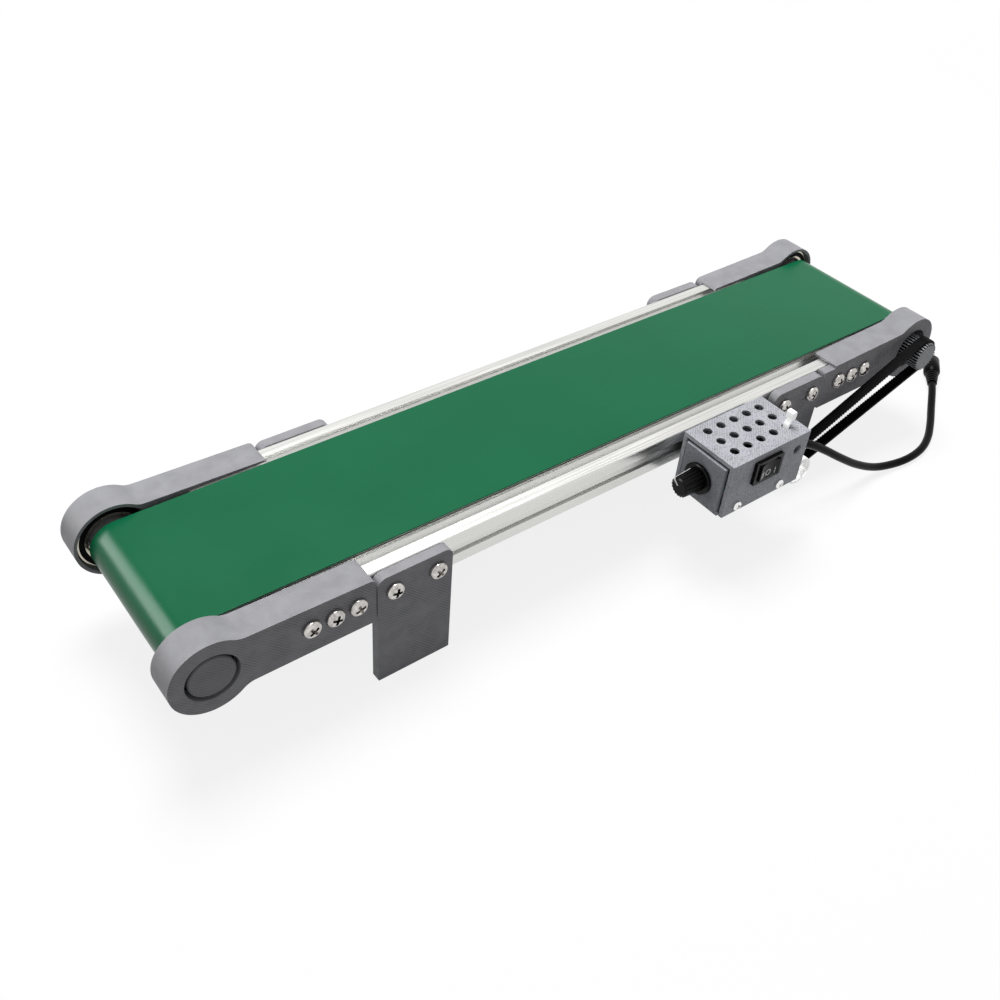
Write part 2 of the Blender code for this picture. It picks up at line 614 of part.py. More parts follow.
def build_motor(zinc):
    """Gearbox, motor can and end boss, hung on the inner face of the motor plate."""
    face = outside(-1, 0.0)
    socket = MOTOR_SHAFT / 2 + GAP
    deep = face + SHAFT_SOCKET
    seam = face + GEARBOX_LENGTH
    back = seam + MOTOR_CAN_LENGTH
    lip = face - MOTOR_BOSS_LENGTH
    can = MOTOR_CAN_DIAMETER / 2
    boss, boss_length = MOTOR_BACK
    profile = ((0.0, deep), (socket, deep), (socket, lip), (MOTOR_BOSS / 2, lip), (MOTOR_BOSS / 2, face),
               (MOTOR_DIAMETER / 2, face), (MOTOR_DIAMETER / 2, seam), (can, seam),
               (can, back - EDGE), (can - EDGE, back), (boss, back), (boss, back + boss_length),
               (0.0, back + boss_length))
    bm = add_turned(bmesh.new(), profile, MEDIUM, "Y", (MOTOR_X, 0, MOTOR_Z))
    add_object("gear_motor", bm, zinc, smooth=True)


# ---------------------------------------------------------------- control box

def screw_columns():
    """X of the two screws in the box's front."""
    return BOX_X0 + BOX_SCREWS[0], BOX_X1 - BOX_SCREWS[1]


def switch_centre():
    """X and Z of the middle of the rocker switch."""
    return BOX_X0 + SWITCH_CENTRE[0], BOX_TOP - SWITCH_CENTRE[1]


def build_cover(printed):
    start = BOX_X0 + COVER_SETBACK
    cover = add_object("box_cover", add_box(bmesh.new(), (start, BOX_FRONT, BOX_BOTTOM),
                                            (BOX_X1, BOX_BACK, BOX_TOP)), printed)
    hollow = add_box(bmesh.new(), (BOX_X0 - PAST, BOX_FRONT + BOX_WALL, BOX_BOTTOM - PAST),
                     (BOX_X1 + PAST, BOX_BACK - BOX_WALL, BOX_TOP - BOX_WALL))
    cut(cover, add_object("box_hollow", hollow, None, cutter=True))
    front = (BOX_FRONT - PAST, BOX_FRONT + BOX_WALL + EDGE)

    vents = bmesh.new()
    for column in range(VENT_COLUMNS):
        for row in range(VENT_ROWS):
            x, y = vent_point(column, row)
            bmesh.ops.create_cone(vents, cap_ends=True, segments=SMALL, radius1=VENT_DIAMETER / 2,
                                  radius2=VENT_DIAMETER / 2, depth=3 * BOX_WALL,
                                  matrix=Matrix.Translation((x, y, BOX_TOP - BOX_WALL / 2)))
    cut(cover, add_object("box_vents", vents, None, cutter=True))

    x, z = BOX_X1 - SIDE_HOLE[0], BOX_TOP - SIDE_HOLE[1]
    cut(cover, bar_cutter("box_side_hole", SIDE_HOLE_DIAMETER, "Y", *front, (x, 0, z)))
    x, z = switch_centre()
    wide = SWITCH_BODY[0] / 2 + GAP
    tall = SWITCH_BODY[1] / 2 + GAP
    window = add_box(bmesh.new(), (x - wide, front[0], z - tall), (x + wide, front[1], z + tall))
    cut(cover, add_object("box_switch_window", window, None, cutter=True))
    for number, x in enumerate(screw_columns(), 1):
        hole = (x, 0, BOX_BOTTOM + BOX_SCREW_HEIGHT)
        cut(cover, bar_cutter(f"box_cover_hole_{number}", M3_SHANK + SCREW_CLEARANCE, "Y", *front, hole))


def vent_point(column, row):
    """Centre of one vent hole; row 0 is nearest the rail."""
    x = (BOX_X0 + BOX_X1) / 2 + VENT_OFFSET[0] + (column - (VENT_COLUMNS - 1) / 2) * VENT_PITCH
    y = (BOX_FRONT + BOX_BACK) / 2 + VENT_OFFSET[1] - (row - (VENT_ROWS - 1) / 2) * VENT_PITCH
    return x, y


def build_base(printed):
    """Floor and two end panels that slide under the cover, with two screw lugs."""
    start = BOX_X0 + PANEL_RECESS
    end = BOX_X1 - PANEL_RECESS
    front = BOX_FRONT + BOX_WALL + GAP
    back = BOX_BACK - BOX_WALL - GAP
    top = BOX_TOP - BOX_WALL - GAP
    floor = BOX_BOTTOM + BOX_FLOOR
    outline = ((start, BOX_BOTTOM), (end, BOX_BOTTOM), (end, top), (end - BOX_WALL, top),
               (end - BOX_WALL, floor), (start + BOX_WALL, floor), (start + BOX_WALL, top), (start, top))
    base = add_object("box_base", add_prism(bmesh.new(), outline, "Y", front, back), printed)
    lugs = bmesh.new()
    for x in screw_columns():
        add_box(lugs, (x - LUG[0] / 2, front, floor - EDGE), (x + LUG[0] / 2, front + LUG[1], floor + LUG[2]))
    cut(base, add_object("box_lugs", lugs, None, cutter=True), "UNION")
    for number, x in enumerate(screw_columns(), 1):
        hole = (x, 0, BOX_BOTTOM + BOX_SCREW_HEIGHT)
        cut(base, bar_cutter(f"box_base_hole_{number}", M3_SHANK + 2 * GAP, "Y", front - EDGE,
                             front + LUG[1] + EDGE, hole))
    cut(base, bar_cutter("box_knob_hole", POT_BUSHING + 2 * GAP, "X", start - PAST,
                         start + BOX_WALL + EDGE, (0, *knob_line())))
    cut(base, bar_cutter("box_cord_hole", GROMMET_NECK + 2 * GAP, "X", end - BOX_WALL - EDGE,
                         end + PAST, (0, *cord_line())))


def knob_line():
    """Y and Z of the knob's axis."""
    return BOX_BACK - KNOB_CENTRE[0], BOX_BOTTOM + KNOB_CENTRE[1]


def cord_line():
    """Y and Z where the power lead leaves the box."""
    return BOX_BACK - CORD_EXIT[0], BOX_BOTTOM + CORD_EXIT[1]


def build_box_fixings(printed, steel):
    x = (BOX_X0 + BOX_X1) / 2
    z = FOOT_SCREW_Z
    half_x, half_z = MOUNT_BLOCK[0] / 2, MOUNT_BLOCK[1] / 2
    block = add_box(bmesh.new(), (x - half_x, BOX_BACK + GAP, z - half_z),
                    (x + half_x, outside(-1, GAP), z + half_z))
    add_object("box_mount", block, printed)
    sizes = (M3_SHANK, M3_HEAD, M3_HEAD_HEIGHT, M3_LENGTH)
    for number, x in enumerate(screw_columns(), 1):
        spot = (x, BOX_FRONT - GAP, BOX_BOTTOM + BOX_SCREW_HEIGHT)
        add_screw(f"box_screw_{number}", spot, "Y", -1, sizes, steel)


def build_knob(black, steel):
    """Speed knob with its shaft, and the potentiometer held in the tail-side panel."""
    y, z = knob_line()
    face = BOX_X0 + PANEL_RECESS
    skirt = face - 2 * GAP
    top = skirt - KNOB_HEIGHT
    shaft_end = face + POT_SHAFT_REACH
    well = POT_BUSHING / 2 + 2 * GAP
    shaft = POT_SHAFT / 2
    profile = ((0.0, top), (KNOB_TOP / 2 - KNOB_RIM, top), (KNOB_TOP / 2, top + KNOB_RIM),
               (KNOB_BASE / 2, skirt - KNOB_SKIRT_HEIGHT), (KNOB_SKIRT / 2, skirt - KNOB_SKIRT_HEIGHT),
               (KNOB_SKIRT / 2, skirt), (well, skirt), (well, skirt - KNOB_WELL),
               (shaft, skirt - KNOB_WELL), (shaft, shaft_end), (0.0, shaft_end))
    bm = add_turned(bmesh.new(), profile, MEDIUM, "X", (0, y, z))
    move_origin(add_object("speed_knob", bm, black, smooth=True), (skirt, y, z))

    behind = face + BOX_WALL + GAP
    lip = behind - POT_BUSHING_LENGTH
    socket = POT_SHAFT / 2 + GAP
    profile = ((0.0, shaft_end + GAP), (socket, shaft_end + GAP), (socket, lip), (POT_BUSHING / 2, lip),
               (POT_BUSHING / 2, behind), (POT_BODY / 2, behind), (POT_BODY / 2, behind + POT_DEPTH),
               (0.0, behind + POT_DEPTH))
    bm = add_turned(bmesh.new(), profile, MEDIUM, "X", (0, y, z))
    add_object("potentiometer", bm, steel, smooth=True)


def build_switch(black, gloss):
    """Three-position rocker switch: the rocker tips about a vertical pivot."""
    x, z = switch_centre()
    housing = add_object("switch_housing", add_box(
        bmesh.new(), (x - SWITCH_BEZEL[0] / 2, BEZEL_FACE, z - SWITCH_BEZEL[1] / 2),
        (x + SWITCH_BEZEL[0] / 2, BOX_FRONT - GAP, z + SWITCH_BEZEL[1] / 2)), black)
    body = add_box(bmesh.new(), (x - SWITCH_BODY[0] / 2, BEZEL_FACE + EDGE, z - SWITCH_BODY[1] / 2),
                   (x + SWITCH_BODY[0] / 2, BOX_FRONT + SWITCH_DEPTH, z + SWITCH_BODY[1] / 2))
    cut(housing, add_object("switch_body", body, None, cutter=True), "UNION")
    pocket = add_box(bmesh.new(), (x - SWITCH_POCKET[0] / 2, BEZEL_FACE - PAST, z - SWITCH_POCKET[1] / 2),
                     (x + SWITCH_POCKET[0] / 2, BEZEL_FACE + POCKET_DEPTH, z + SWITCH_POCKET[1] / 2))
    cut(housing, add_object("switch_pocket", pocket, None, cutter=True))

    pivot = (x, BEZEL_FACE + ROCKER_PIVOT, z)
    one_side = ((ROCKER_SPINE, -ROCKER_KEEL), (ROCKER_HALF, -GAP), (ROCKER_HALF, ROCKER_RISE),
                (ROCKER_SPINE, ROCKER_DISH))
    outline = [(pivot[0] + a, pivot[1] - b) for a, b in one_side]
    outline += [(pivot[0] - a, pivot[1] - b) for a, b in reversed(one_side)]
    half = SWITCH_POCKET[1] / 2 - GAP
    rocker = add_object("rocker", add_prism(bmesh.new(), outline, "Z", z - half, z + half), gloss)
    move_origin(rocker, pivot)


def build_board(green):
    """Speed control board lying on the box floor behind the lugs."""
    start = BOX_X0 + BOX_WALL + BOARD_SETBACK
    end = BOX_X1 - BOX_WALL - BOARD_SETBACK
    back = BOX_BACK - BOX_WALL - BOX_FLOOR
    low = BOX_BOTTOM + BOX_FLOOR + GAP
    depth, thickness = BOARD
    board = add_object("speed_board", add_box(bmesh.new(), (start, back - depth, low),
                                              (end, back, low + thickness)), green)
    terminals_start = end - BLOCK_INSET - TERMINALS[0]
    for name, x, (length, width, height) in (("board_regulator", start + BLOCK_INSET, REGULATOR),
                                             ("board_terminals", terminals_start, TERMINALS)):
        block = add_box(bmesh.new(), (x, back - BLOCK_INSET - width, low + thickness / 2),
                        (x + length, back - BLOCK_INSET, low + thickness + height))
        cut(board, add_object(name, block, None, cutter=True), "UNION")


def build_ties(nylon):
    """The tie through the last front vent hole, and the tie loop round the head-end corner."""
    x, y = vent_point(VENT_COLUMNS - 1, VENT_ROWS - 1)
    half = TIE_THICKNESS / 2
    low = BOX_TOP - BOX_WALL - TIE_BELOW
    bend = BOX_TOP + TIE_BEND
    neck = BOX_TOP + TIE_HEAD_START
    across, along = TIE_HEAD
    middle = x + (TIE_LEAN + half) / 2
    outline = ((x - half, low), (x + half, low), (x + half, bend), (middle + half, neck),
               (middle + across / 2, neck), (middle + across / 2, neck + along),
               (middle - across / 2, neck + along), (middle - across / 2, neck),
               (middle - half, neck), (x - half, bend + half))
    strap = add_prism(bmesh.new(), outline, "Y", y - TIE_WIDTH / 2, y + TIE_WIDTH / 2)
    add_object("cable_tie", strap, nylon)

    centre = (BOX_X1 + LOOP_CENTRE[0], BOX_BOTTOM + LOOP_CENTRE[1])
    inside = LOOP_RADIUS - TIE_THICKNESS
    last = math.radians(LOOP_END)
    outline = arc(centre, LOOP_RADIUS, math.acos((GAP - LOOP_CENTRE[0]) / LOOP_RADIUS), last, 12)
    outline += arc(centre, inside, last, math.acos((GAP - LOOP_CENTRE[0]) / inside), 12)
    front = BOX_FRONT + BOX_WALL
    loop = add_prism(bmesh.new(), outline, "Y", front, front + TIE_WIDTH)
    add_object("tie_loop", loop, nylon)


# ---------------------------------------------------------------- power lead

def smooth_route(points, steps):
    """Catmull-Rom curve through the route's own points."""
    padded = [2 * points[0] - points[1]] + points + [2 * points[-1] - points[-2]]
    curve = []
    for a, b, c, d in zip(padded, padded[1:], padded[2:], padded[3:]):
        for step in range(steps):
            t = step / steps
            curve.append(0.5 * (2 * b + (c - a) * t + (2 * a - 5 * b + 4 * c - d) * t ** 2
                                + (3 * b - a - 3 * c + d) * t ** 3))
    curve.append(points[-1])
    return curve


def build_grommet(rubber):
    y, z = cord_line()
    panel = BOX_X1 - PANEL_RECESS
    neck = GROMMET_NECK / 2
    flange = GROMMET_FLANGE / 2
    inside = panel - BOX_WALL - EDGE
    rim = panel + GROMMET_FLANGE_LENGTH
    profile = ((0.0, inside), (neck, inside), (neck, panel + GAP), (flange, panel + GAP),
               (flange, rim), (neck, rim + EDGE),
               (GROMMET_NOSE / 2, panel + GROMMET_LENGTH), (0.0, panel + GROMMET_LENGTH))
    bm = add_turned(bmesh.new(), profile, MEDIUM, "X", (0, y, z))
    add_object("cord_grommet", bm, rubber, smooth=True)


def build_cord(rubber):
    route = [Vector(point) for point in CORD_ROUTE]
    data = bpy.data.curves.new("power_cord", "CURVE")
    data.dimensions = "3D"
    data.bevel_depth = CORD_DIAMETER / 2
    data.bevel_resolution = 2
    data.use_fill_caps = True
    data.materials.append(rubber)
    points = smooth_route(route, 2)
    spline = data.splines.new("POLY")
    spline.points.add(len(points) - 1)
    for slot, point in zip(spline.points, points):
        slot.co = (*point, 1.0)
        slot.radius = 1.0
    cord = bpy.data.objects.new("power_cord", data)
    bpy.context.scene.collection.objects.link(cord)
    cord.parent = bpy.data.objects["conveyor"]


def build_plug(black):
    """A barrel plug lying on the surface at the end of the lead, turned from its own X axis."""
    end = Vector(CORD_ROUTE[-1])
    heading = end - Vector(CORD_ROUTE[-2])
    start = GAP
    relief = start + PLUG_RELIEF_LENGTH
    body = relief + PLUG_BODY_LENGTH
    tip = body + PLUG_BARREL_LENGTH
    wide = PLUG_BODY / 2
    profile = ((0.0, start), (PLUG_RELIEF / 2 - EDGE, start), (PLUG_RELIEF / 2, relief),
               (wide, relief + 2 * EDGE), (wide, body - EDGE), (wide - EDGE, body),
               (PLUG_BARREL / 2, body), (PLUG_BARREL / 2, tip), (0.0, tip))
    bm = add_turned(bmesh.new(), profile, MEDIUM, "X", (0, 0, 0))
    plug = add_object("dc_plug", bm, black, smooth=True)
    plug.location = (end.x, end.y, wide + PLUG_CLEAR)
    plug.rotation_euler = (0.0, 0.0, math.atan2(heading.y, heading.x))


def main():
    clear_scene()
    carrier = bpy.data.objects.new("conveyor", None)
    carrier.location = (0.0, -ORIGIN_Y, 0.0)
    bpy.context.scene.collection.objects.link(carrier)

    printed = finish("grey_print", (0.20, 0.20, 0.21), 0.6)
    box_print = finish("box_print", (0.17, 0.18, 0.20), 0.6)
    aluminium = finish("aluminium", (0.85, 0.85, 0.84), 0.35, 1.0)
    acrylic = finish("bed_sheet", (0.35, 0.35, 0.35), 0.4)
    green = finish("belt_green", (0.03, 0.19, 0.10), 0.35)
    bearing_steel = finish("bearing_steel", (0.6, 0.6, 0.6), 0.3, 1.0)
    nickel = finish("nickel_steel", (0.7, 0.68, 0.65), 0.3, 1.0)
    zinc = finish("zinc", (0.6, 0.6, 0.58), 0.35, 1.0)
    rubber = finish("black_rubber", (0.02, 0.02, 0.02), 0.6)
    black = finish("black_plastic", (0.015, 0.015, 0.015), 0.4)
    gloss = finish("rocker_plastic", (0.02, 0.02, 0.02), 0.2)
    nylon = finish("white_nylon", (0.8, 0.8, 0.78), 0.4)
    board = finish("board_green", (0.02, 0.15, 0.05), 0.5)

    build_frame(aluminium, acrylic)
    build_brackets(printed, bearing_steel)
    build_roller("tail_roller", -1, BRACKET_WALL, None, printed)
    build_roller("drive_roller", 1, -2 * GAP, PULLEY_END - PULLEY_CAP - GAP, printed)
    build_belt(green)
    build_feet(printed)
    build_frame_screws(nickel)
    build_drive(printed, rubber, nickel, zinc)
    build_motor(zinc)
    build_cover(box_print)
    build_base(box_print)
    build_box_fixings(box_print, nickel)
    build_knob(black, nickel)
    build_switch(black, gloss)
    build_board(board)
    build_ties(nylon)
    build_grommet(rubber)
    build_cord(rubber)
    build_plug(black)


main()
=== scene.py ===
import json
import math

import bmesh
import bpy
from mathutils import Matrix, Vector

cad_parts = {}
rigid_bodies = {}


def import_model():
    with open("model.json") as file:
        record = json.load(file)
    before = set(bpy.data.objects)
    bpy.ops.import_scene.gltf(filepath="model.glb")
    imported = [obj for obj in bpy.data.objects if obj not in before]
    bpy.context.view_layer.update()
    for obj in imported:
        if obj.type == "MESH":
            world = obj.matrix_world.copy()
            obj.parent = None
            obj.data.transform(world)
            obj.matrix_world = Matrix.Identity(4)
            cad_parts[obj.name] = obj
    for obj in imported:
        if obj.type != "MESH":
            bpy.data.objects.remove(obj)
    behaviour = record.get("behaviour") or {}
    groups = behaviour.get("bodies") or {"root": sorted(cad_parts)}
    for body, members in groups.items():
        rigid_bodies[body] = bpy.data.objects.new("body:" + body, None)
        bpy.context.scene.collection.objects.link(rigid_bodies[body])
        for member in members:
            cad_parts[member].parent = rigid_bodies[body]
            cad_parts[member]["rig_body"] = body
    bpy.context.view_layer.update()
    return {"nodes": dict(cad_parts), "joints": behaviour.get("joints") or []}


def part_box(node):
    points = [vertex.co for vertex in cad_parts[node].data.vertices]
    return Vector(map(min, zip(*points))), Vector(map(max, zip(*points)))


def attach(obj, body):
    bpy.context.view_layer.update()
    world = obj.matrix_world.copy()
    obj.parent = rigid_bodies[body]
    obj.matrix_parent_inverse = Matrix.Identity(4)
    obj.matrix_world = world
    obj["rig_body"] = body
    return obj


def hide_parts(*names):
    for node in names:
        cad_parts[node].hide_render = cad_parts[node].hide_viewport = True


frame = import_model()
mm = 0.001


# places read from the frame

def jointPoint(name):
    return Vector(next(joint["pos_m"] for joint in frame["joints"] if joint["name"] == name))


def middleOf(node):
    low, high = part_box(node)
    return (low + high) / 2


def radiusOf(node):
    low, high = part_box(node)
    return (high.z - low.z) / 2


headAxis = jointPoint("drive_roller_turn")
tailAxis = jointPoint("tail_roller_turn")
motorAxis = jointPoint("motor_turn")
knobAxis = jointPoint("speed_knob_turn")
rockerAxis = jointPoint("rocker_tilt")
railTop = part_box("rail_near")[1].z
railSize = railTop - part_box("rail_near")[0].z
clearance = 0.3 * mm            # gap between neighbouring pieces


# camera and power lead come first

cameraView = {"position": (-0.3436, -0.3414, 0.4331), "heading": 40.295, "down": 41.328,
              "roll": 4.996, "lens": 39.98, "sensor": 36.0}


def makeCamera():
    data = bpy.data.cameras.new("camera")
    data.lens = cameraView["lens"]
    data.sensor_width = cameraView["sensor"]
    data.clip_start = 0.01
    camera = bpy.data.objects.new("camera", data)
    bpy.context.scene.collection.objects.link(camera)
    turn = Matrix.Rotation(-math.radians(cameraView["heading"]), 4, "Z")
    turn = turn @ Matrix.Rotation(math.radians(90 - cameraView["down"]), 4, "X")
    turn = turn @ Matrix.Rotation(math.radians(cameraView["roll"]), 4, "Z")
    camera.matrix_world = Matrix.Translation(cameraView["position"]) @ turn
    bpy.context.scene.camera = camera


# materials, kept by short names

materials = {}


def linear(colour):
    parts = [int(colour[i:i + 2], 16) / 255 for i in (1, 3, 5)]
    return [c / 12.92 if c <= 0.04045 else ((c + 0.055) / 1.055) ** 2.4 for c in parts] + [1.0]


def addNode(tree, kind, inputs=None, output=0, **settings):
    # gives back one output of the new node
    made = tree.nodes.new("ShaderNode" + kind)
    for name, value in settings.items():
        setattr(made, name, value)
    for key, value in (inputs or {}).items():
        if isinstance(value, bpy.types.NodeSocket):
            tree.links.new(value, made.inputs[key])
        else:
            made.inputs[key].default_value = value
    return made.outputs[output] if len(made.outputs) else None


def objectSpace(tree):
    return addNode(tree, "TexCoord", output="Object")


def addMath(tree, operation, *values):
    return addNode(tree, "Math", dict(enumerate(values)), operation=operation)


def addNoise(tree, size, detail=2.0, vector=None):
    vector = objectSpace(tree) if vector is None else vector
    return addNode(tree, "TexNoise", {"Vector": vector, "Scale": 1 / size, "Detail": detail})


def addBands(tree, vector, period, direction, distortion=0.0, detailScale=1.0):
    # bands this far apart
    inputs = {"Vector": vector, "Scale": math.pi / 10 / period, "Distortion": distortion,
              "Detail Scale": detailScale}
    return addNode(tree, "TexWave", inputs, "Fac", bands_direction=direction)


def addRange(tree, value, fromLow, fromHigh, toLow, toHigh):
    return addNode(tree, "MapRange", {"Value": value, "From Min": fromLow, "From Max": fromHigh,
                                      "To Min": toLow, "To Max": toHigh})


def addBump(tree, height, strength, depth, under=None):
    inputs = {"Strength": strength, "Distance": depth, "Height": height}
    if under is not None:
        inputs["Normal"] = under
    return addNode(tree, "Bump", inputs)


def mixColours(tree, share, first, second):
    ends = [linear(end) if isinstance(end, str) else end for end in (first, second)]
    return addNode(tree, "Mix", {0: share, 6: ends[0], 7: ends[1]}, 2, data_type="RGBA")


def startMaterial(name, colour, roughness, metallic=0.0, specular=0.5):
    material = bpy.data.materials.new(name)
    material.use_nodes = True
    tree = material.node_tree
    shader = tree.nodes["Principled BSDF"]
    shader.inputs["Base Color"].default_value = linear(colour)
    shader.inputs["Roughness"].default_value = roughness
    shader.inputs["Metallic"].default_value = metallic
    shader.inputs["Specular IOR Level"].default_value = specular
    return material, tree, shader


def addGrain(tree, shader, size, depth, colours, roughness, stretch=(1, 1, 1)):
    # fine unevenness: one noise moves colour, roughness and height together
    spread = addNode(tree, "Mapping", {"Vector": objectSpace(tree), "Scale": stretch})
    grain = addNoise(tree, size, 3.0, spread)
    tone = mixColours(tree, grain, *colours)
    relief = addBump(tree, grain, 0.5, depth)
    tree.links.new(tone, shader.inputs["Base Color"])
    tree.links.new(addRange(tree, grain, 0.3, 0.7, *roughness), shader.inputs["Roughness"])
    tree.links.new(relief, shader.inputs["Normal"])
    return tone, relief


# the real lines are 0.2 and 0.4 mm apart, too fine to show
printed = {"layer": 0.8 * mm, "raster": 1.3 * mm, "depth": 0.10 * mm, "groove": 0.3, "patch": 9 * mm,
           "grit": 0.9 * mm, "flatFrom": 0.8}


def printedPla(name, colours, layerAxis, roughness, speckle=0.0, paintedFaceShade=0.0):
    # extruded PLA: layer lines round its sides and diagonal strokes, with painted shade in their grooves and
    # on the faces printed flat
    material, tree, shader = startMaterial(name, colours[0], roughness[0], specular=0.3)
    tone, relief = addGrain(tree, shader, 6 * mm, 0.02 * mm, colours, roughness)
    coords = objectSpace(tree)
    at = "XYZ".index(layerAxis)
    layers = addBands(tree, coords, printed["layer"], layerAxis, 0.6, 0.4)
    turn = [0.0, 0.0, 0.0]
    turn[at] = math.radians(45)
    turned = addNode(tree, "Mapping", {"Vector": coords, "Rotation": turn})
    strokes = addBands(tree, turned, printed["raster"], "Y" if layerAxis == "X" else "X", 0.8, 0.5)
    facing = addNode(tree, "SeparateXYZ", {0: addNode(tree, "TexCoord", output="Normal")}, at)
    flat = addMath(tree, "GREATER_THAN", addMath(tree, "ABSOLUTE", facing), printed["flatFrom"])
    height = addNode(tree, "Mix", {0: flat, 2: layers, 3: strokes})
    tree.links.new(addBump(tree, height, 0.7, printed["depth"], relief), shader.inputs["Normal"])
    # painted shade in the layer grooves, stronger in random patches
    grooveShadePatches = addRange(tree, addNoise(tree, printed["patch"]), 0.35, 0.65, 0.0, printed["groove"])
    groove = addRange(tree, height, 0.0, 1.0, grooveShadePatches, 0.0)
    # painted shade: the faces printed flat and the grooves between layers are mixed towards dark grey
    paintedShade = addMath(tree, "MULTIPLY_ADD", flat, paintedFaceShade, groove)
    shaded = mixColours(tree, paintedShade, tone, "#202024")
    if speckle:
        dots = addRange(tree, addNoise(tree, printed["grit"]), 0.52, 0.66, 0.0, speckle)
        shaded = mixColours(tree, dots, shaded, "#3a3d46")
    tree.links.new(shaded, shader.inputs["Base Color"])
    return material


def anodisedAluminium(name, axis):
    # clear anodised extrusion: satin, with die lines drawn along its length
    material, tree, shader = startMaterial(name, "#d6d6d3", 0.3, 1.0)
    stretch = [1.0, 1.0, 1.0]
    stretch["XYZ".index(axis)] = 0.01
    addGrain(tree, shader, 0.8 * mm, 0.01 * mm, ("#c9c9c6", "#e2e2df"), (0.22, 0.38), stretch)
    return material


def pvcBelting():
    # calendered PVC: even green, satin, with a faint cloudiness and pebble
    material, tree, shader = startMaterial("pvc_belting", "#06694a", 0.3, specular=0.15)
    relief = addGrain(tree, shader, 60 * mm, 0.01 * mm, ("#02623d", "#076a45"), (0.24, 0.32))[1]
    pebble = addBump(tree, addNoise(tree, 0.8 * mm), 0.25, 0.03 * mm, relief)
    tree.links.new(pebble, shader.inputs["Normal"])
    return material


def polyesterWeave():
    # the belting's woven running side, threads 1 mm apart
    material, tree, shader = startMaterial("polyester_weave", "#8d9690", 0.8)
    warp, weft = [addBands(tree, objectSpace(tree), 1 * mm, direction) for direction in "XY"]
    thread = addMath(tree, "MULTIPLY", warp, weft)
    tree.links.new(mixColours(tree, thread, "#8d9690", "#c6cdc8"), shader.inputs["Base Color"])
    tree.links.new(addBump(tree, thread, 0.6, 0.1 * mm), shader.inputs["Normal"])
    return material


def nickelPlate():
    # nickel plated steel: mirror-like, with dull and bright patches, and painted dark and bright reflections
    # in its colour
    material, tree, shader = startMaterial("nickel_plated_steel", "#cbc8c2", 0.16, 1.0)
    addGrain(tree, shader, 2.2 * mm, 0.05 * mm, ("#4d4747", "#fbf7f2"), (0.08, 0.24))
    return material


def grained(name, colours, roughness, size, depth, metallic=0.0, specular=0.3):
    material, tree, shader = startMaterial(name, colours[0], roughness[0], metallic, specular)
    addGrain(tree, shader, size * mm, depth * mm, colours, roughness)
    return material


